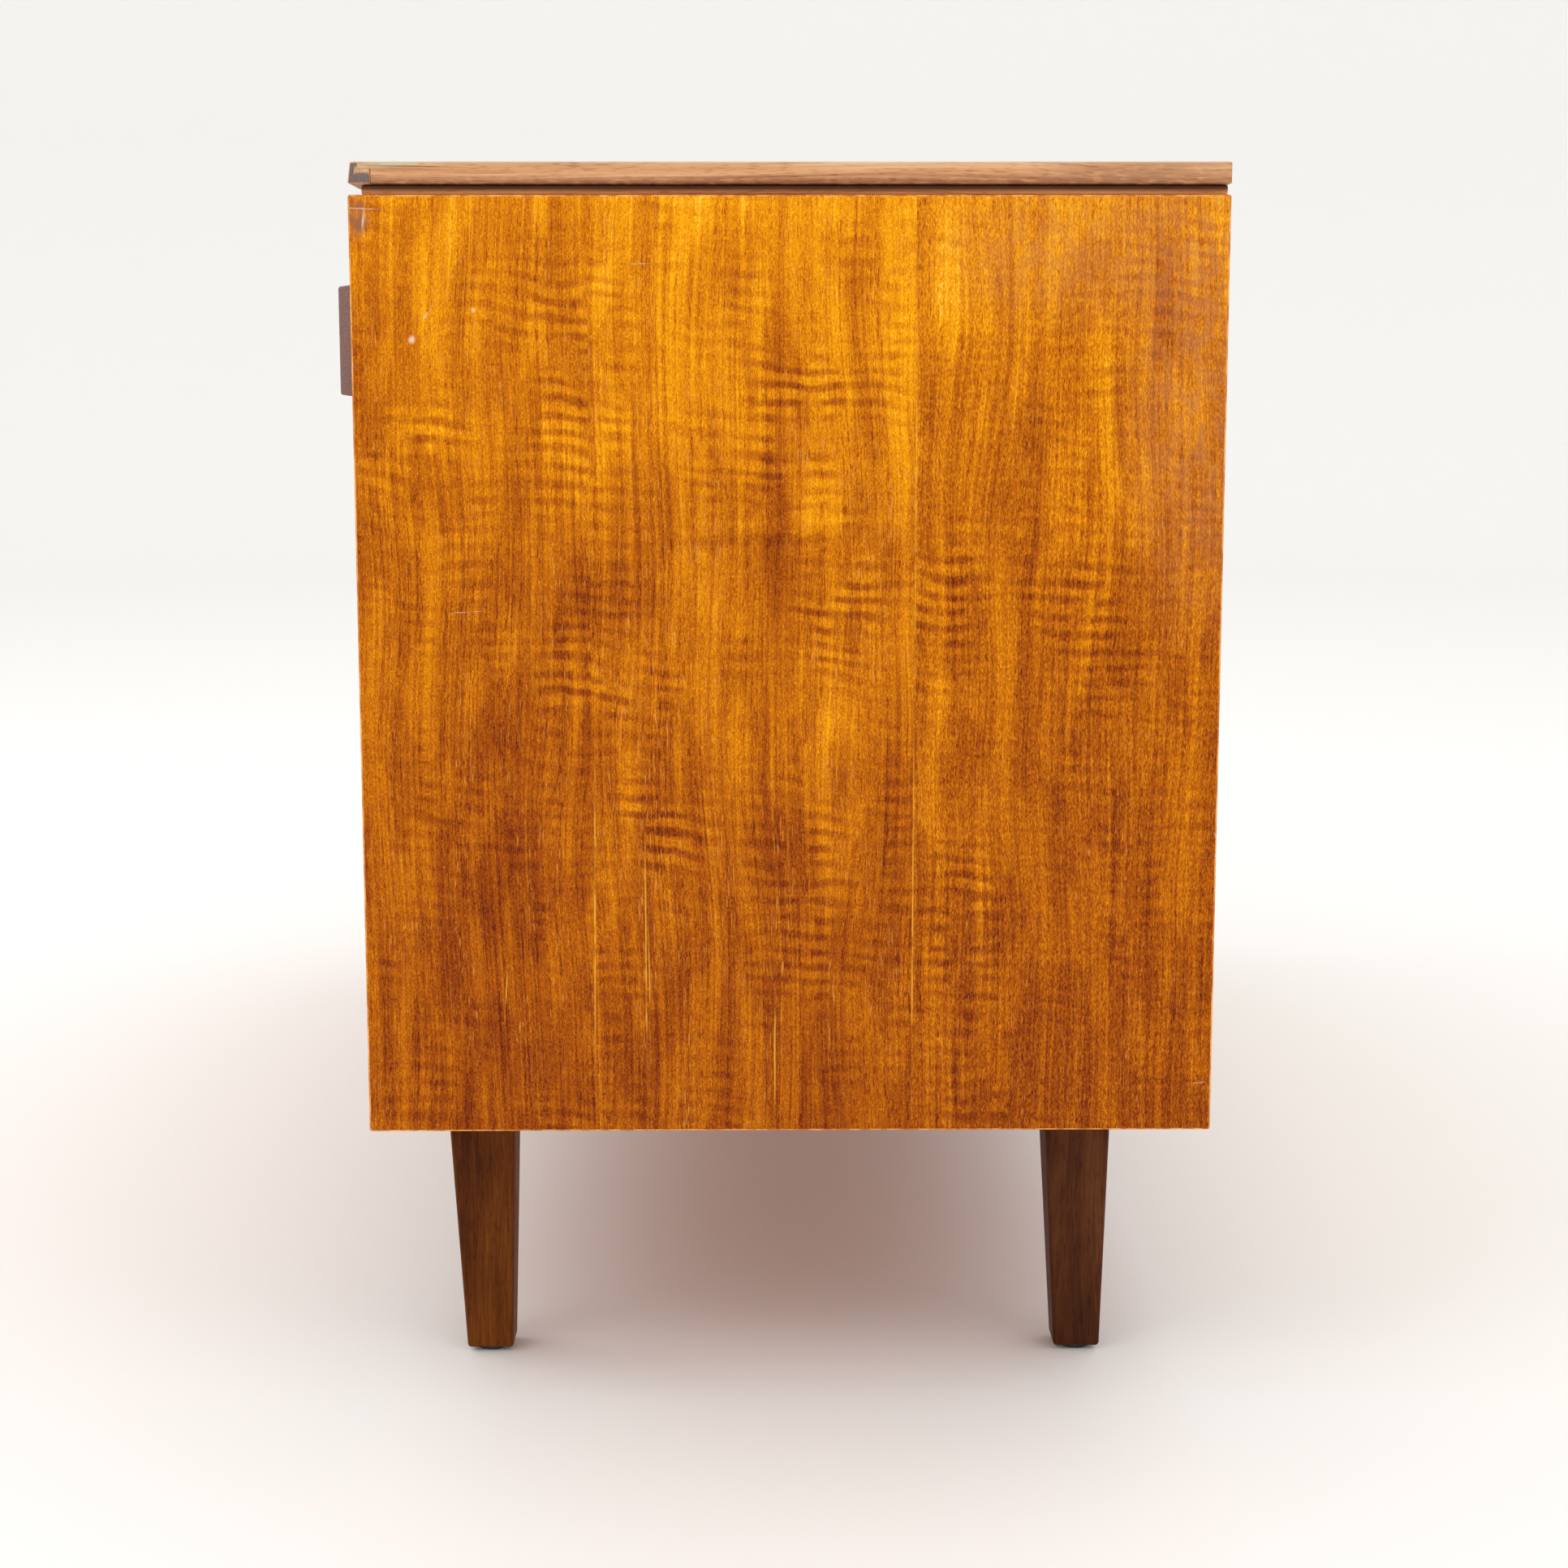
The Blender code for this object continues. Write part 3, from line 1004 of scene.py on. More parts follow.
def cut_away(piece: Object, cutters: Iterable[Shape], finish: Finish | None = None) -> Object:
    """Cuts shapes out of a piece.

    Args:
        piece: The piece.
        cutters: What is taken away.
        finish: The finish of the cut faces, or None for the piece's own.

    Returns:
        The same piece, as a plain mesh.
    """
    tools = []
    for number, shape in enumerate(cutters):
        tool = new_object(f"cutter_{number}", shape, *([finish] if finish else []))
        boolean = piece.modifiers.new(f"cut_{number}", "BOOLEAN")
        boolean.operation = "DIFFERENCE"
        boolean.object = tool
        if finish:
            boolean.material_mode = "TRANSFER"
        tools.append(tool)
    settle(piece)
    for tool in tools:
        bpy.data.objects.remove(tool)
    return piece


def lathe(
    profile: Sequence[tuple[float, float]], x: float, y: float, steps: int = 40, weld: float = 0.005 * MM
) -> Shape:
    """Turns a profile about an upright axis.

    Args:
        profile: Radii and levels, from a point on the axis.
        x: The axis's place along X.
        y: The axis's place along Y.
        steps: How many sides the turning has.
        weld: How near points are that become one.

    Returns:
        The turning, with its faces outwards.
    """
    shape = bmesh.new()
    verts = [shape.verts.new((radius, 0, level)) for radius, level in profile]
    edges = [shape.edges.new(pair) for pair in zip(verts, verts[1:])]
    about = {"axis": (0, 0, 1), "cent": (0, 0, 0), "angle": math.tau}
    bmesh.ops.spin(shape, geom=[*verts, *edges], steps=steps, **about)
    bmesh.ops.remove_doubles(shape, verts=shape.verts, dist=weld)
    bmesh.ops.translate(shape, verts=shape.verts, vec=(x, y, 0))
    bmesh.ops.recalc_face_normals(shape, faces=shape.faces)
    return shape


def smooth(piece: Object) -> None:
    """Shades every face of a piece smooth."""
    for face in piece.data.polygons:
        face.use_smooth = True


# ---------------------------------------------------------------- repeated hardware


class Tree(Nodes):
    """Writes a Geometry Nodes tree with named inputs."""

    def __init__(self, name: str) -> None:
        """Starts a tree that takes and gives geometry.

        Args:
            name: The tree's name.
        """
        self.tree = bpy.data.node_groups.new(name, "GeometryNodeTree")
        for way in ("INPUT", "OUTPUT"):
            self.tree.interface.new_socket("Geometry", in_out=way, socket_type="NodeSocketGeometry")
        self.given = self.node("NodeGroupInput")
        self.result = self.node("NodeGroupOutput")

    def number(self, name: str, kind: str, value: float) -> Socket:
        """Adds a named number to the tree's inputs.

        Args:
            name: The input's name.
            kind: Float or Int.
            value: Its default.

        Returns:
            The number's socket.
        """
        face = self.tree.interface.new_socket(name, in_out="INPUT", socket_type="NodeSocket" + kind)
        face.default_value = value
        return self.given.outputs[name]

    def finish(self, geometry: Socket, material: bpy.types.Material) -> bpy.types.NodeTree:
        """Realises the instances, sets their material and ends the tree.

        Args:
            geometry: What the tree has made.
            material: Its material.

        Returns:
            The tree.
        """
        real = self.node("GeometryNodeRealizeInstances")
        dressed = self.node("GeometryNodeSetMaterial")
        self.fill(real, Geometry=geometry)
        self.fill(dressed, Geometry=real.outputs[0], Material=material)
        self.fill(self.result, Geometry=dressed.outputs[0])
        return self.tree


@dataclass(frozen=True)
class Fastener:
    """A round-headed fastener: a slotted screw, or a plain pin without a slot."""

    name: str
    finish: Finish
    radius: float
    height: float
    slot_width: float
    sides: int = 20
    crown_share: float = 0.72
    slot_reach: float = 2.4
    slot_lift: float = 1.05

    def tree(self) -> bpy.types.NodeTree:
        """Gives the tree, made once, that sets a head on each small face, along its normal.

        Returns:
            The tree.
        """
        name = self.name + "_heads"
        if name in bpy.data.node_groups:
            return bpy.data.node_groups[name]
        made = Tree(name)
        radius = made.number("Head Radius", "Float", self.radius)
        height = made.number("Head Height", "Float", self.height)
        slot = made.number("Slot Width", "Float", self.slot_width)
        seed = made.number("Seed", "Int", 4)
        head = self.head(made, radius, height, slot)
        kept = made.node("GeometryNodeCaptureAttribute", domain="FACE")
        kept.capture_items.new("VECTOR", "Facing")
        normal = made.node("GeometryNodeInputNormal").outputs[0]
        made.fill(kept, Geometry=made.given.outputs["Geometry"], Facing=normal)
        points = made.node("GeometryNodeMeshToPoints", mode="FACES")
        made.fill(points, Mesh=kept.outputs["Geometry"])
        aim = made.node("FunctionNodeAlignRotationToVector", axis="Z")
        made.fill(aim, Vector=kept.outputs["Facing"])
        turn = made.node("FunctionNodeRandomValue", data_type="FLOAT")
        made.feed(turn.inputs[3], math.pi)
        made.fill(turn, Seed=seed)
        spin = made.node("FunctionNodeAxisAngleToRotation")
        made.fill(spin, Axis=(0, 0, 1), Angle=turn.outputs[1])
        joined = made.node("FunctionNodeRotateRotation", rotation_space="LOCAL")
        made.fill(joined, Rotation=aim.outputs[0], Rotate_By=spin.outputs[0])
        placed = made.node("GeometryNodeInstanceOnPoints")
        made.fill(placed, Points=points.outputs["Points"], Instance=head, Rotation=joined.outputs[0])
        return made.finish(placed.outputs[0], self.finish.material())

    def head(self, made: Tree, radius: Socket, height: Socket, slot: Socket) -> Socket:
        """Makes one head, standing on the origin along +Z.

        Args:
            made: The tree.
            radius: The head's radius.
            height: The head's height.
            slot: The slot's width, or 0 for none.

        Returns:
            The head's geometry.
        """
        disc = made.node("GeometryNodeMeshCone")
        crown = made.times(radius, self.crown_share)
        made.fill(disc, Vertices=self.sides, Radius_Bottom=radius, Radius_Top=crown, Depth=height)
        if self.slot_width <= 0:
            return disc.outputs["Mesh"]
        bar = made.node("GeometryNodeMeshCube")
        made.fill(bar, Size=made.vector(made.times(radius, self.slot_reach), slot, height))
        lift = made.vector(0.0, 0.0, made.times(height, self.slot_lift))
        raised = made.node("GeometryNodeTransform")
        made.fill(raised, Geometry=bar.outputs["Mesh"], Translation=lift)
        cut = made.node("GeometryNodeMeshBoolean", operation="DIFFERENCE")
        made.fill(cut, Mesh_1=disc.outputs["Mesh"], Mesh_2=raised.outputs[0])
        return cut.outputs["Mesh"]

    def piece(self, name: str, places: Iterable[Vector], facing: Vector, seed: int = 4) -> Object:
        """Sets fasteners at points that all face one way.

        Args:
            name: The piece's name.
            places: Where the heads' feet are.
            facing: The way that the heads face.
            seed: What turns the slots.

        Returns:
            The piece, as a plain mesh.
        """
        shape = bmesh.new()
        turned = facing.to_track_quat("Z", "Y").to_matrix()
        small = 0.01 * MM
        corners = [Vector((math.cos(a) * small, math.sin(a) * small, 0)) for a in (0, 2.1, 4.2)]
        for place in places:
            shape.faces.new([shape.verts.new(place + turned @ corner) for corner in corners])
        cloud = new_object(name, shape)
        modifier = cloud.modifiers.new("heads", "NODES")
        modifier.node_group = self.tree()
        sizes = {"Head Radius": self.radius, "Head Height": self.height}
        sizes |= {"Slot Width": self.slot_width, "Seed": seed}
        for item in modifier.node_group.interface.items_tree:
            if item.in_out == "INPUT" and item.name in sizes:
                modifier[item.identifier] = sizes[item.name]
        return settle(cloud)


# ---------------------------------------------------------------- the finishes in use

WALNUT = Tones(paint(150, 92, 56), paint(208, 152, 106), paint(236, 188, 140), paint(122, 104, 102))
# painted light: the spacer rails' walnut is given lighter tones so that their lower part looks lit
SPACER_LIT_TONES = Tones(paint(188, 116, 66), paint(242, 168, 106), paint(252, 192, 130), WALNUT.end)
FRONT_LEG_TONES = Tones(paint(66, 28, 2), paint(101, 50, 6), paint(130, 74, 18), paint(50, 26, 8))
# painted shade: the rear legs are the same walnut as the front ones, in darker tones
SHADED_REAR_LEG_TONES = Tones(paint(46, 20, 6), paint(76, 38, 15), paint(104, 60, 30), paint(42, 24, 12))
PULL_TONES = Tones(paint(96, 74, 68), paint(134, 108, 100), paint(170, 142, 130), paint(142, 116, 112))
LINING_TONES = Tones(
    paint(176, 136, 92), paint(208, 172, 126), paint(228, 198, 156), paint(186, 148, 104)
)
BRASS = Metal("aged_brass", paint(214, 170, 92), paint(150, 108, 48))
STEEL = Metal("plated_steel", paint(176, 176, 172), paint(118, 116, 112), 0.38)
GLIDE = MouldedPlastic("glide_black", paint(34, 30, 27), paint(88, 80, 72))
CATCH = MouldedPlastic("catch_brown", paint(92, 58, 38), paint(120, 84, 60))
# worn bare arrises, made paler as a painted highlight along the edges
WORN_AND_LIT_EDGE = RawWood("worn_and_highlit_arris", paint(244, 172, 90), paint(196, 110, 34))
CHIPPED = RawWood("chipped_edge", paint(240, 196, 150), paint(196, 132, 84))
PLY_ARRIS = 0.15 * MM


# ---------------------------------------------------------------- sub-assemblies


@dataclass
class FloatingTop:
    """The thin top: a veneered board, half-lapped lippings and the set-in rails below."""

    arris: float = 0.7 * MM
    board_arris: float = 0.2 * MM
    tongue_reach: float = 8.0 * MM
    tongue_thick: float = 4.3 * MM
    seam: float = 0.05 * MM

    def build(self) -> None:
        """Makes and dresses the top's pieces."""
        grain = Grain.LENGTHWISE_FLAT
        board = SolidWood("top_walnut_veneer", grain, WALNUT, band_width=14 * MM, blotch=0.5)
        refined("top_board", board, Body.CARCASS, Slot.TOP, self.board_arris, name="top_board_panel")
        self.front_lipping()
        for side in ("left", "right"):
            self.end_lipping(side)
        self.rails()

    def front_lipping(self) -> None:
        """Makes the front lipping, rebated at both ends for the end lippings' tongues."""
        low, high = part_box("top_lipping_front")
        shape = node_mesh("top_lipping_front")
        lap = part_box("top_lipping_left")[1].x - low.x
        rebates = []
        for x0, x1 in ((low.x - MM, low.x + lap), (high.x - lap, high.x + MM)):
            corner_low = (x0, high.y - self.tongue_reach, high.z - self.tongue_thick)
            rebates.append((corner_low, (x1, high.y + MM, high.z + MM)))
        finish = SolidWood("front_lipping_walnut", Grain.LENGTHWISE_EDGE, WALNUT, seed=3.0)
        piece = new_object("top_lipping_front_strip", shape, finish)
        cut_away(piece, [block(*corners) for corners in rebates])
        round_edges(piece, self.arris, sharp=self.in_lap)
        publish(piece, Body.CARCASS, Slot.LIPPING, "top_lipping_front")

    def in_lap(self, middle: Vector) -> bool:
        """Says of an edge's middle that it lies in the lap of the front and end lippings."""
        low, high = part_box("top_lipping_front")
        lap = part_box("top_lipping_left")[1].x - low.x
        near_end = min(middle.x - low.x, high.x - middle.x) < lap + MM
        behind = middle.y > high.y - self.tongue_reach - MM and middle.y < high.y + MM
        return near_end and behind and middle.z < high.z - 0.2 * MM

    def end_lipping(self, side: str) -> None:
        """Makes an end lipping with a tongue over the front one.

        Args:
            side: left or right.
        """
        node = "top_lipping_" + side
        low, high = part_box(node)
        outline = (
            (low.y, low.z),
            (high.y, low.z),
            (high.y, high.z),
            (low.y - self.tongue_reach + self.seam, high.z),
            (low.y - self.tongue_reach + self.seam, high.z - self.tongue_thick + self.seam),
            (low.y, high.z - self.tongue_thick + self.seam),
        )
        shape = prism(outline, low.x, high.x)
        front, level = low.y, (low.z + high.z) / 2
        # The last mark in each list runs the lipping's whole depth: paler along its top edge, darker
        # along its bottom edge.
        worn = (
            Mark(front + 12 * MM, high.z - 1.5 * MM, 34 * MM, 3.4 * MM, 0.75, 0.6),
            Mark(front + 300 * MM, high.z - 0.5 * MM, 60 * MM, 2.2 * MM, 0.35),
            Mark(front + 250 * MM, high.z, 900 * MM, 3.0 * MM, 0.40),
        )
        stains = (
            Mark(front + 22 * MM, high.z - 2.7 * MM, 20 * MM, 0.7 * MM, 1.3, -1.5),
            Mark(front + 455 * MM, level, 90 * MM, 9 * MM, 0.40),
            Mark(front + 230 * MM, low.z - 1.5 * MM, 900 * MM, 7.5 * MM, 0.75),
        )
        finish = SolidWood(
            "end_lipping_walnut",
            Grain.DEPTHWISE_EDGE,
            replace(WALNUT, end=paint(126, 98, 80)),
            seed=1.0,
            band_width=4 * MM,
            worn=worn,
            stains=stains,
        )
        piece = new_object(node + "_strip", shape, finish)
        round_edges(piece, self.arris, sharp=self.in_lap)
        publish(piece, Body.CARCASS, Slot.LIPPING, node)

    def rails(self) -> None:
        """Dresses the four spacer rails."""
        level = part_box("spacer_right")[1].z
        # painted shade: the rails darken towards the slab's underside, in the shadow gap
        gap_shade = (level - 5.0 * MM, level - 1.6 * MM)
        for side in ("front", "rear", "left", "right"):
            grain = Grain.LENGTHWISE_EDGE if side in ("front", "rear") else Grain.DEPTHWISE_EDGE
            name = f"spacer_walnut_{grain.name.lower()}"
            finish = SolidWood(name, grain, SPACER_LIT_TONES, seed=5.0, gap_shade=gap_shade)
            refined("spacer_" + side, finish, Body.CARCASS, Slot.LIPPING)


@dataclass
class Carcass:
    """The fixed boards, the back and the small things pressed or driven into them."""

    arris: float = 0.3 * MM
    chip_seed: int = 7
    chip_depth: float = 1.6 * MM
    chip_roughness: float = 0.18
    pin_spacing: float = 92 * MM
    pin_inset: float = 5 * MM
    stud_inset: float = 60 * MM
    stud_radius: float = 2.6 * MM
    stud_length: float = 7 * MM
    shelf_gap: float = 1.5 * MM

    def build(self) -> None:
        """Makes and dresses the carcass."""
        self.ends()
        self.boards()
        self.back()
        self.shelf_studs()

    def ends(self) -> None:
        """Makes the two end panels; the right one is the more worn."""
        for side in ("left", "right"):
            node = "end_panel_" + side
            finish = FiguredVeneer("left_end_veneer", Grain.UPRIGHT_END, 11.0)
            if side == "right":
                finish = self.right_veneer()
            piece = new_object(node + "_board", node_mesh(node), finish, WORN_AND_LIT_EDGE)
            # the arrises take the worn edge finish, partly a painted highlight
            round_edges(piece, self.arris, edge_slot=1)
            cut_away(piece, self.chips(*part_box(node), side), CHIPPED)
            publish(piece, Body.CARCASS, Slot.VENEER, node)

    def right_veneer(self) -> FiguredVeneer:
        """Describes the right end's veneer, with its own patches, streaks, worn places and painted
        sheen.
        """
        low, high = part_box("end_panel_right")

        def at(
            across: float,
            down: float,
            wide: float,
            tall: float,
            strength: float,
            lean: float = 0,
            tint: Colour | None = None,
        ) -> Mark:
            """Places a mark, in millimetres from the panel's front top corner."""
            place = (low.y + across * MM, high.z - down * MM)
            return Mark(*place, wide * MM, tall * MM, strength, lean, tint)

        brown, pale, dark = paint(158, 98, 66), paint(240, 206, 170), paint(70, 26, 6)
        patches = (
            at(255, 150, 17, 130, -0.09),
            at(393, 165, 36, 75, -0.08),
            at(330, 90, 13, 95, 0.11),
            at(238, 222, 40, 40, -0.06),
            at(128, 165, 40, 60, 0.05),
            at(60, 110, 50, 90, 0.04),
            at(280, 185, 26, 34, 0.05),
            at(205, 60, 60, 60, -0.03),
            at(150, 240, 60, 40, -0.05),
            at(350, 290, 22, 70, 0.07),
            at(290, 320, 30, 36, 0.08),
            at(165, 285, 34, 50, 0.05),
            at(440, 330, 40, 120, -0.04),
            at(95, 340, 45, 70, -0.03),
            at(320, 260, 18, 60, 0.05),
            at(470, 60, 60, 90, -0.04),
            at(245, 400, 34, 90, -0.05),
            at(150, 420, 22, 90, 0.03),
            at(262, 192, 75, 5, 0.05, 0.6),
            at(240, 203, 90, 7, -0.06, 0.6),
            at(320, 330, 10, 210, -0.05),
            at(353, 60, 16, 75, 0.10),
            at(350, 330, 17, 230, 0.05),
            at(60, 205, 70, 5, 0.04),
        )
        ripples = (
            at(130, 110, 38, 100, 0.9),
            at(270, 128, 66, 64, 0.8),
            at(150, 285, 64, 50, 0.9),
            at(175, 380, 40, 52, 0.8),
            at(353, 240, 24, 60, 0.9),
            at(290, 250, 42, 66, 0.8),
            at(277, 415, 32, 90, 0.8),
            at(362, 435, 32, 90, 0.8),
            at(50, 145, 50, 40, 0.6),
            at(445, 235, 40, 80, 0.5),
        )
        streaks = (
            at(141, 430, 0.9, 135, 0.75, 1.2),
            at(172, 450, 0.8, 105, 0.7),
            at(174, 470, 0.6, 60, 0.6, -1.0),
            at(251, 520, 0.7, 50, 0.75),
            at(255, 505, 0.6, 28, 0.6),
            at(335.5, 440, 0.7, 150, 0.7),
            at(336, 180, 0.7, 200, 0.6),
            at(86, 480, 0.7, 22, 0.7, 2.5),
        )
        worn = (
            at(6, 13, 9, 17, 1.3, 0, brown),
            at(7, 8, 10, 0.9, 0.9, -1.5, pale),
            at(9, 14, 1.2, 9, 0.7, 0.8, pale),
            at(36, 84, 3.0, 3.5, 1.1, 0, pale),
            at(45, 70, 1.5, 3.5, 1.0, 1.5, pale),
            at(73, 67, 1.6, 2.0, 1.0, 0, pale),
            at(66, 246, 6.0, 0.8, 0.8, 2.0, pale),
            at(172, 40, 7.0, 0.5, 0.6, 1.0, pale),
            at(513, 538, 5.0, 0.9, 1.1, 0.6, pale),
            at(507, 541, 10.0, 0.8, 0.9, 0, dark),
            at(382, 434, 0.8, 2.6, 1.2, 0, dark),
            at(389, 450, 0.7, 2.4, 1.2, 0, dark),
            at(466, 545, 0.8, 2.0, 1.0, 0, dark),
            # The last two marks have no tint: they lay the painted sheen, a reflection at the upper
            # rear.
            at(505, 110, 60, 190, 0.40),
            at(430, 30, 120, 60, 0.28),
        )
        return FiguredVeneer(
            "right_end_veneer",
            Grain.UPRIGHT_END,
            2.0,
            curl=0.5,
            patches=patches,
            ripples=ripples,
            streaks=streaks,
            worn=worn,
        )

    def chips(self, low: Vector, high: Vector, side: str) -> list[Shape]:
        """Lists the small chips knocked out of an end panel's edges.

        Args:
            low: The panel's lowest corner.
            high: The panel's highest corner.
            side: left or right.

        Returns:
            The chips' shapes.
        """
        draw = random.Random(self.chip_seed + (side == "left"))
        face = high.x if side == "right" else low.x
        spots = [
            (low.y, high.z - 99 * MM, 1.3, 3.2),
            (high.y, high.z - 382 * MM, 1.5, 3.0),
            (high.y, high.z - 396 * MM, 1.1, 2.4),
            (high.y, high.z - 448 * MM, 1.3, 2.2),
            (low.y, low.z, 2.2, 2.4),
            (high.y, low.z, 1.8, 2.6),
            (low.y, low.z + 52 * MM, 0.9, 2.4),
            (high.y, high.z - 170 * MM, 0.8, 3.0),
        ]
        shapes = []
        for y, z, wide, tall in spots:
            shape = bmesh.new()
            bmesh.ops.create_icosphere(shape, subdivisions=2, radius=1.0)
            for vert in shape.verts:
                vert.co *= 1 + draw.uniform(-self.chip_roughness, self.chip_roughness)
            place = Matrix.Translation((face + draw.uniform(-0.2, 0.4) * MM, y, z))
            stretch = Matrix.Diagonal((self.chip_depth, wide * MM, tall * MM, 1))
            bmesh.ops.transform(shape, matrix=place @ stretch, verts=shape.verts)
            shapes.append(shape)
        return shapes

    def boards(self) -> None:
        """Makes the carcass boards, dividers and shelves."""
        grain = Grain.LENGTHWISE_FLAT
        lengthwise = FiguredVeneer("flat_veneer", grain, 21.0, leaf_start=-400 * MM)
        upright = FiguredVeneer("divider_veneer", Grain.UPRIGHT_END, 31.0)
        for node in ("carcass_bottom", "carcass_top"):
            refined(node, lengthwise, Body.CARCASS, Slot.VENEER, self.arris)
        for bay in ("left", "centre", "right"):
            for kind in ("drawer_shelf_", "cupboard_shelf_"):
                refined(kind + bay, lengthwise, Body.CARCASS, Slot.VENEER, self.arris)
        for side in ("left", "right"):
            refined("divider_" + side, upright, Body.CARCASS, Slot.VENEER, self.arris)

    def back(self) -> None:
        """Dresses the plywood back and drives its pins."""
        grain = Grain.LENGTHWISE_EDGE
        finish = Plywood("back_plywood", grain, paint(206, 168, 122), paint(168, 126, 82))
        refined("back_panel", finish, Body.CARCASS, Slot.PLYWOOD, PLY_ARRIS)
        low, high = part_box("back_panel")
        left, right = low.x + self.pin_inset, high.x - self.pin_inset
        bottom, top = low.z + self.pin_inset, high.z - self.pin_inset
        corners = ((left, bottom), (right, bottom), (right, top), (left, top))
        places = []
        for start, end in zip(corners, corners[1:] + corners[:1]):
            count = max(2, round(math.dist(start, end) / self.pin_spacing))
            for step in range(count):
                share = step / count
                x = start[0] + (end[0] - start[0]) * share
                z = start[1] + (end[1] - start[1]) * share
                places.append(Vector((x, high.y, z)))
        pin = Fastener("back_pin", STEEL, 1.7 * MM, 0.6 * MM, 0.0, 12)
        publish(pin.piece("back_pins", places, Vector((0, 1, 0))), Body.CARCASS, None)

    def shelf_studs(self) -> None:
        """Sets four brass studs under each cupboard shelf."""
        for bay in ("left", "centre", "right"):
            low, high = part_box("cupboard_shelf_" + bay)
            stud = Fastener("shelf_stud", BRASS, self.stud_radius, self.stud_length, 0.0, 16)
            left, right = low.x - self.shelf_gap, high.x + self.shelf_gap
            for side, x, way in (("left", left, 1), ("right", right, -1)):
                rows = (low.y + self.stud_inset, high.y - self.stud_inset)
                places = [Vector((x, y, low.z - self.stud_radius - 0.1 * MM)) for y in rows]
                name = f"shelf_studs_{bay}_{side}"
                publish(stud.piece(name, places, Vector((way, 0, 0))), Body.CARCASS, Slot.BRASS)


@dataclass
class Legs:
    """Four tapered legs on steel plates, with plastic glides."""

    arris: float = 0.9 * MM
    plate_size: float = 66 * MM
    plate_hole: float = 45.2 * MM
    plate_thick: float = 1.6 * MM
    screw_inset: float = 6 * MM

    def build(self) -> None:
        """Makes and dresses the legs."""
        for row in ("front", "rear"):
            for side in ("left", "right"):
                name = f"leg_{row}_{side}"
                finish = SolidWood(
                    f"{name}_walnut",
                    Grain.UPRIGHT_END,
                    # the rear legs' darker tones are painted shade
                    FRONT_LEG_TONES if row == "front" else SHADED_REAR_LEG_TONES,
                    seed=2.0 if row == "front" else 8.0,
                    roughness=0.46,
                    gloss=0.09,
                    band_width=12 * MM,
                    blotch=0.9,
                )
                refined(name, finish, Body.CARCASS, Slot.LEG, self.arris, 3, name + "_turned")
                self.glide(f"glide_{row}_{side}")
                self.plate(name)

    def plate(self, leg: str) -> None:
        """Screws a steel mounting plate round the head of a leg.

        Args:
            leg: The leg's node.
        """
        low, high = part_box(leg)
        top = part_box("carcass_bottom")[0].z
        centre = Vector(((low.x + high.x) / 2, (low.y + high.y) / 2, top))
        half, hole = self.plate_size / 2, self.plate_hole / 2
        thick = Vector((0, 0, self.plate_thick))
        corner, inner = Vector((half, half, 0)), Vector((hole, hole, 0))
        piece = new_object(leg + "_plate", block(centre - corner - thick, centre + corner), STEEL)
        cut_away(piece, [block(centre - inner - 2 * thick, centre + inner + thick)])
        publish(round_edges(piece, 0.3 * MM), Body.CARCASS, None)
        reach = half - self.screw_inset
        ways = ((1, 1), (1, -1), (-1, 1), (-1, -1))
        places = [centre - thick + Vector((x * reach, y * reach, 0)) for x, y in ways]
        screw = Fastener("plate_screw", STEEL, 3.6 * MM, 1.3 * MM, 0.9 * MM)
        publish(screw.piece(leg + "_screws", places, Vector((0, 0, -1)), len(leg)), Body.CARCASS, None)

    def glide(self, node: str) -> None:
        """Makes a glide with a rounded rim and a nail in the middle.

        Args:
            node: The glide's node.
        """
        low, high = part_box(node)
        radius = (high.x - low.x) / 2
        height = high.z - low.z
        profile = [(0.0, high.z), (radius * 0.96, high.z), (radius, high.z - 0.25 * height)]
        for step in range(5):
            angle = math.radians(90 * step / 4)
            reach = radius * (0.86 + 0.14 * math.cos(angle))
            profile.append((reach, low.z + 0.45 * height * (1 - math.sin(angle))))
        profile.append((0.0, low.z))
        centre = (low + high) / 2
        piece = new_object(node + "_button", lathe(profile, centre.x, centre.y), GLIDE)
        smooth(piece)
        piece.data.set_sharp_from_angle(angle=math.radians(50))
        publish(piece, Body.CARCASS, Slot.GLIDE, node)


@dataclass
class Pull:
    """A sculpted block pull and the two screws that hold it."""

    name: str
    body: Body
    upright: bool
    arris: float = 0.5 * MM
    screw_spacing: float = 96 * MM

    def build(self) -> None:
        """Makes the pull."""
        grain = Grain.UPRIGHT_FRONT if self.upright else Grain.LENGTHWISE_EDGE
        seed = float(len(self.name))
        finish = SolidWood(self.name + "_walnut", grain, PULL_TONES, seed, roughness=0.38, blotch=0.7)
        refined(self.name, finish, self.body, Slot.PULL, self.arris, 3, self.name + "_block")

    def screws(self, back_y: float) -> None:
        """Drives the pull's screws from behind.

        Args:
            back_y: Where the back of the board behind the pull is.
        """
        low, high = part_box(self.name)
        centre = (low + high) / 2
        half = self.screw_spacing / 2
        ways = ((0, half), (0, -half)) if self.upright else ((half, 0), (-half, 0))
        places = [Vector((centre.x + x, back_y, centre.z + z)) for x, z in ways]
        screw = Fastener("pull_screw", STEEL, 4.2 * MM, 1.6 * MM, 1.0 * MM)
        publish(screw.piece(self.name + "_screws", places, Vector((0, 1, 0))), self.body, None)


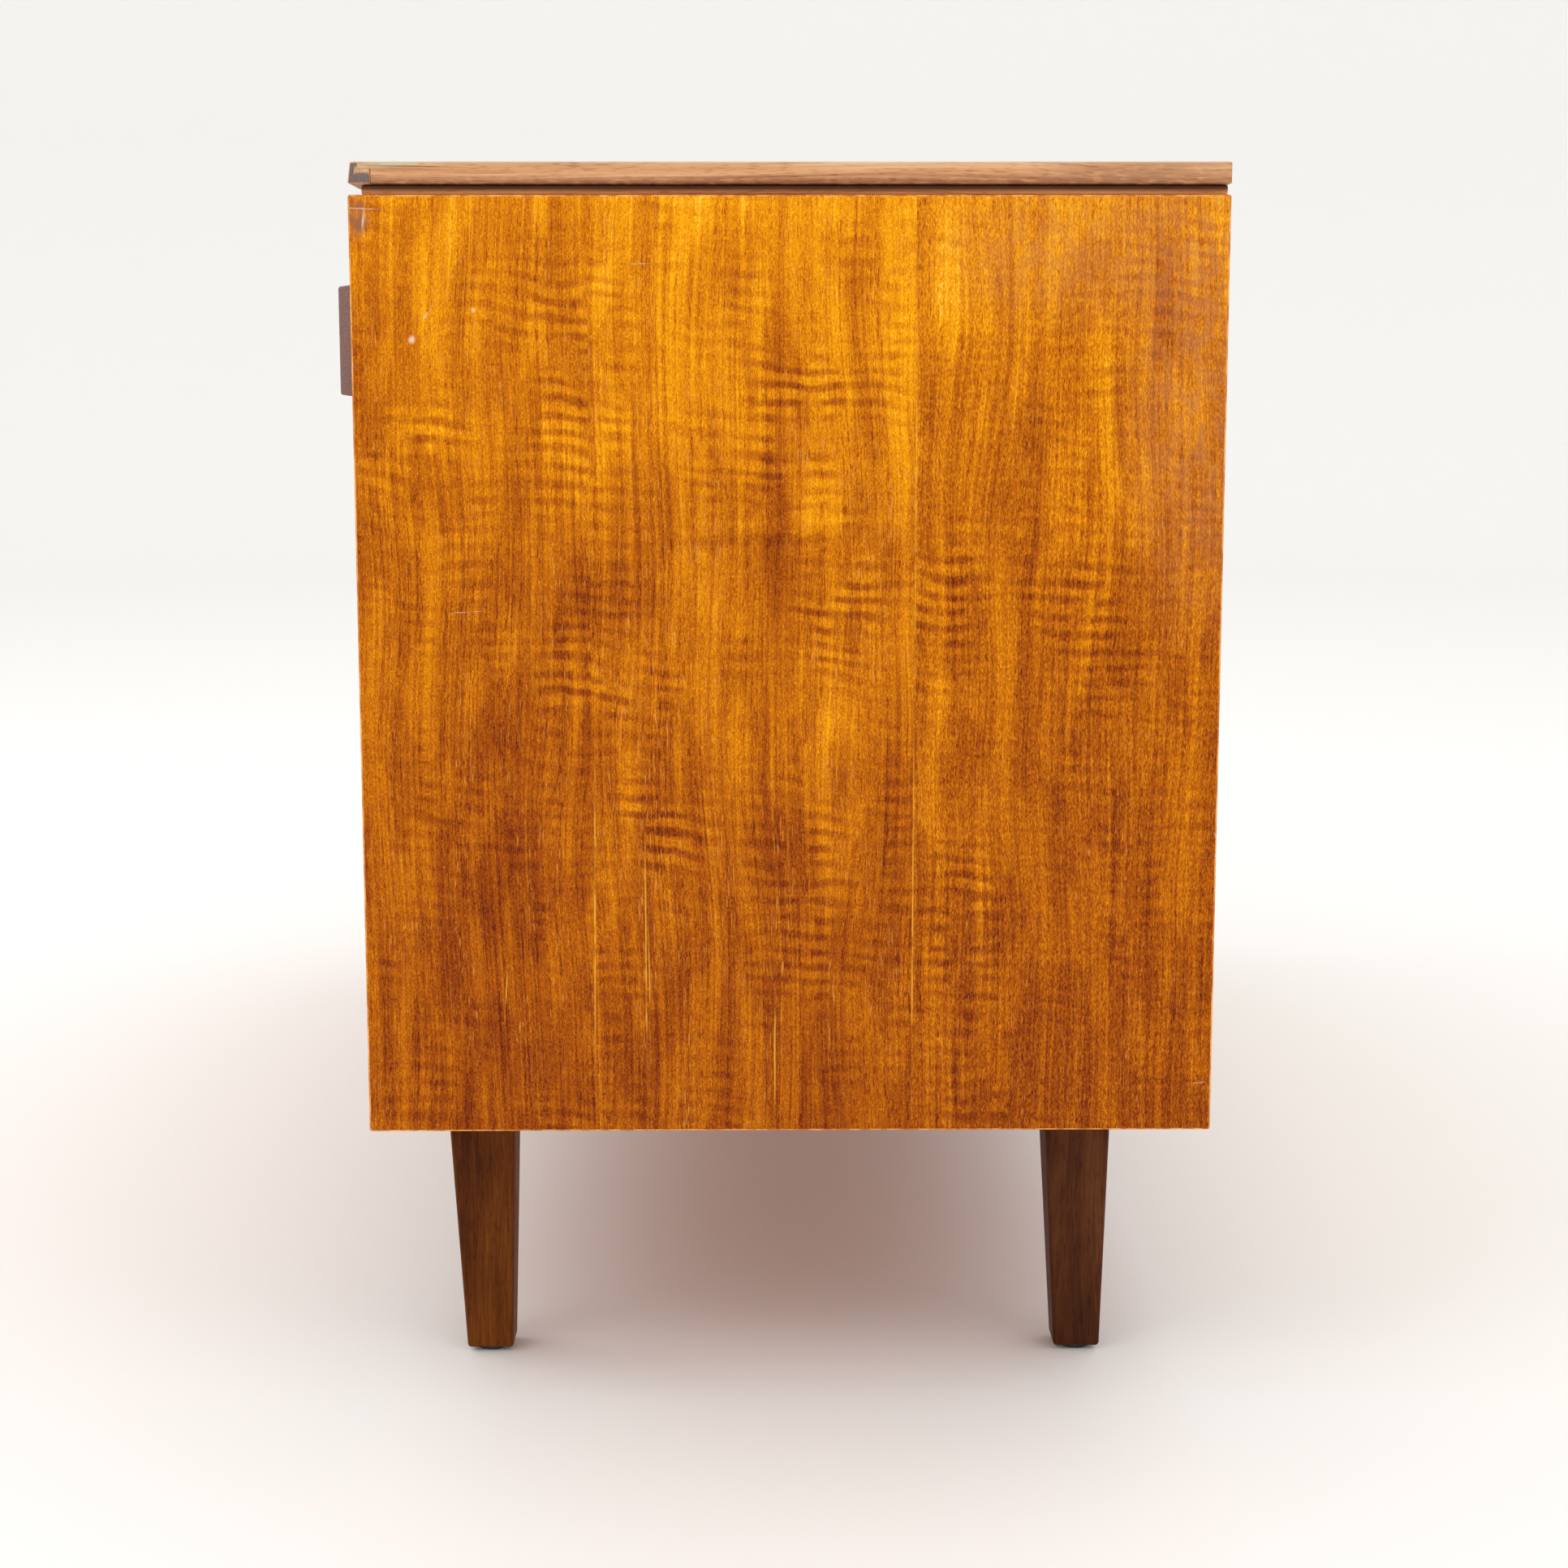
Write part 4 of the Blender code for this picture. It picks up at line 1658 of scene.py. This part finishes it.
@dataclass
class BayFront:
    """What a bay's drawer and door share: their place, and the veneer that runs over both."""

    bay: str
    seed: float
    arris: float = 0.3 * MM
    leaf_start: float = -648.96 * MM

    def named(self, kind: str) -> tuple[str, Body]:
        """Gives the name of this bay's drawer or door, and its body."""
        return f"{kind}_{self.bay}", Body(f"{kind}_{self.bay}")

    def veneer(self) -> FiguredVeneer:
        """Describes the veneer, whose leaves start at the left end."""
        name = f"front_veneer_{self.bay}"
        return FiguredVeneer(name, Grain.UPRIGHT_FRONT, self.seed, leaf_start=self.leaf_start)


@dataclass
class Drawer(BayFront):
    """A drawer: its veneered front, lined box, thin bottom and pull."""

    brad_rows: int = 4
    brad_from_front: float = 4 * MM
    brad_from_back: float = 6 * MM

    def build(self) -> None:
        """Makes and dresses the drawer."""
        name, body = self.named("drawer")
        # the arrises take the worn edge finish, partly a painted highlight
        refined(name + "_front", self.veneer(), body, Slot.VENEER, self.arris, worn=WORN_AND_LIT_EDGE)
        sides = SolidWood("drawer_side_wood", Grain.DEPTHWISE_EDGE, LINING_TONES, band_width=11 * MM)
        back = SolidWood("drawer_back_wood", Grain.LENGTHWISE_EDGE, LINING_TONES, band_width=11 * MM)
        for part in ("side_left", "side_right"):
            refined(f"{name}_{part}", sides, body, Slot.LINING)
        refined(name + "_back", back, body, Slot.LINING)
        pale, deep = paint(216, 182, 138), paint(184, 146, 102)
        ply = Plywood("drawer_plywood", Grain.DEPTHWISE_FLAT, pale, deep, 4 * MM, 3.0)
        refined(name + "_bottom", ply, body, Slot.PLYWOOD, PLY_ARRIS)
        pull = Pull(name + "_pull", body, False)
        pull.build()
        pull.screws(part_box(name + "_front")[1].y)
        self.brads()

    def brads(self) -> None:
        """Drives brads through the drawer's sides into its front and back."""
        name, body = self.named("drawer")
        brad = Fastener("drawer_brad", STEEL, 0.9 * MM, 0.3 * MM, 0.0, 10)
        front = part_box(name + "_front")[1].y
        for side, way in (("left", -1), ("right", 1)):
            low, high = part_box(f"{name}_side_{side}")
            x = low.x if side == "left" else high.x
            places = []
            for row in range(self.brad_rows):
                z = low.z + (row + 0.6) * (high.z - low.z) / (self.brad_rows + 0.2)
                places.append(Vector((x, front - self.brad_from_front, z)))
                places.append(Vector((x, high.y - self.brad_from_back, z)))
            publish(brad.piece(f"{name}_brads_{side}", places, Vector((way, 0, 0))), body, None)


@dataclass
class Door(BayFront):
    """A door: its veneered panel, its pull, the brass pins it hangs on and its catch."""

    catch_size: tuple[float, float, float] = (42 * MM, 15 * MM, 13 * MM)
    catch_gap: float = 0.5 * MM
    strike_thick: float = 0.8 * MM
    strike_drop: float = 1.5 * MM

    def build(self) -> None:
        """Makes and dresses the door."""
        name, body = self.named("door")
        board, panel = name + "_board", name + "_panel"
        # the arrises take the worn edge finish, partly a painted highlight
        refined(panel, self.veneer(), body, Slot.VENEER, self.arris, name=board, worn=WORN_AND_LIT_EDGE)
        pull = Pull(name + "_pull", body, True)
        pull.build()
        pull.screws(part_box(name + "_panel")[1].y)
        for level in ("lower", "upper"):
            dress_node(f"{name}_pin_{level}", BRASS)
        self.catch()

    def catch(self) -> None:
        """Sets a magnetic catch under the drawer shelf and its strike plate on the door."""
        name, body = self.named("door")
        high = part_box(name + "_panel")[1]
        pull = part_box(name + "_pull")
        middle = (pull[0].x + pull[1].x) / 2
        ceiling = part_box("drawer_shelf_" + self.bay)[0].z
        width, depth, height = self.catch_size
        front = high.y + self.strike_thick + self.catch_gap
        near = (middle - width / 2, front, ceiling - height)
        far = (middle + width / 2, front + depth, ceiling)
        housing = new_object(name + "_catch", block(near, far), CATCH)
        publish(round_edges(housing, 0.8 * MM, 3), Body.CARCASS, None)
        level = high.z - height / 2 - self.strike_drop
        half_wide, half_tall = 0.42 * width, 0.4 * height
        strike = block(
            (middle - half_wide, high.y, level - half_tall),
            (middle + half_wide, high.y + self.strike_thick, level + half_tall),
        )
        plate = new_object(name + "_strike", strike, STEEL)
        publish(round_edges(plate, 0.25 * MM), body, None)
        rivet = Fastener("strike_rivet", BRASS, 1.6 * MM, 0.35 * MM, 0.0, 12)
        places = [Vector((middle, high.y + self.strike_thick, level))]
        publish(rivet.piece(name + "_strike_rivet", places, Vector((0, 1, 0))), body, None)


# ---------------------------------------------------------------- the studio


@dataclass
class Studio:
    """The pale floor with its sweep, the soft lamps and the camera."""

    lens: float = 60.895
    camera_back: float = 1.5956
    camera_side: float = 0.2460
    camera_height: float = 0.6260
    yaw: float = 0.386
    pitch: float = 8.336
    roll: float = -0.032
    floor_radius: float = 7.0
    sweep_radius: float = 1.6
    sweep_height: float = 4.5
    daylight: float = 1.08

    def build(self) -> None:
        """Makes the stage."""
        self.floor()
        self.lamps()
        self.camera()
        scene = bpy.context.scene
        scene.view_settings.view_transform = "Standard"
        world = bpy.data.worlds.new("studio")
        world.use_nodes = True
        sky = world.node_tree.nodes["Background"]
        sky.inputs["Color"].default_value = (1.0, 1.0, 1.0, 1.0)
        sky.inputs["Strength"].default_value = self.daylight
        scene.world = world

    def floor(self) -> None:
        """Makes a round floor whose rim sweeps up into the backdrop."""
        bend = self.sweep_radius
        profile = [(0.0, 0.0), (self.floor_radius * 0.5, 0.0)]
        for step in range(13):
            angle = math.radians(90 * step / 12)
            reach = self.floor_radius + bend * math.sin(angle)
            profile.append((reach, bend * (1 - math.cos(angle))))
        profile.append((self.floor_radius + bend, self.sweep_height))
        shape = lathe(profile, 0.0, 0.0, 64, MM)
        bmesh.ops.reverse_faces(shape, faces=shape.faces)
        floor = new_object("studio_floor", shape, Backdrop("floor_pale", paint(246, 245, 243)))
        smooth(floor)

    def lamps(self) -> None:
        """Hangs the four soft lamps."""
        target = Vector((0.2, 0.0, 0.45))
        lamps = (
            ("key", (2.4, -1.9, 2.7), 1.6, 12.0, (1.0, 0.98, 0.95)),
            ("fill", (2.8, 2.0, 2.2), 1.8, 6.0, (1.0, 0.98, 0.96)),
            ("front", (-0.6, -3.2, 2.4), 2.0, 14.0, (1.0, 0.98, 0.96)),
            ("over", (-0.4, 0.6, 3.4), 2.4, 12.0, (1.0, 0.99, 0.98)),
        )
        for name, place, size, power, colour in lamps:
            lamp = bpy.data.lights.new(name, "AREA")
            lamp.shape = "DISK"
            lamp.size = size
            lamp.energy = power
            lamp.color = colour
            holder = bpy.data.objects.new(name, lamp)
            holder.location = place
            holder.rotation_euler = (target - Vector(place)).to_track_quat("-Z", "Y").to_euler()
            bpy.context.scene.collection.objects.link(holder)

    def camera(self) -> None:
        """Sets the camera up, square to the right end."""
        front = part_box("end_panel_right")[0].y
        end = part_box("end_panel_right")[1].x
        yaw, pitch, roll = (math.radians(a) for a in (self.yaw, self.pitch, self.roll))
        level = math.cos(pitch)
        ahead = Vector((-math.cos(yaw) * level, math.sin(yaw) * level, -math.sin(pitch)))
        side = Vector((math.sin(yaw), math.cos(yaw), 0))
        up = side.cross(ahead)
        turned = Matrix((side, up, -ahead)).transposed().to_4x4() @ Matrix.Rotation(roll, 4, "Z")
        data = bpy.data.cameras.new("camera")
        data.lens = self.lens
        data.sensor_width = 36.0
        camera = bpy.data.objects.new("camera", data)
        place = Vector((end + self.camera_back, front + self.camera_side, self.camera_height))
        camera.matrix_world = Matrix.Translation(place) @ turned
        bpy.context.scene.collection.objects.link(camera)
        bpy.context.scene.camera = camera


def main() -> None:
    """Builds every sub-assembly."""
    logging.basicConfig(level=logging.INFO, format="%(name)s: %(message)s")
    Studio().build()
    FloatingTop().build()
    Carcass().build()
    Legs().build()
    for bay, seed in (("left", 41.0), ("centre", 47.0), ("right", 53.0)):
        Drawer(bay, seed).build()
        Door(bay, seed).build()


if __name__ == "__main__":
    main()
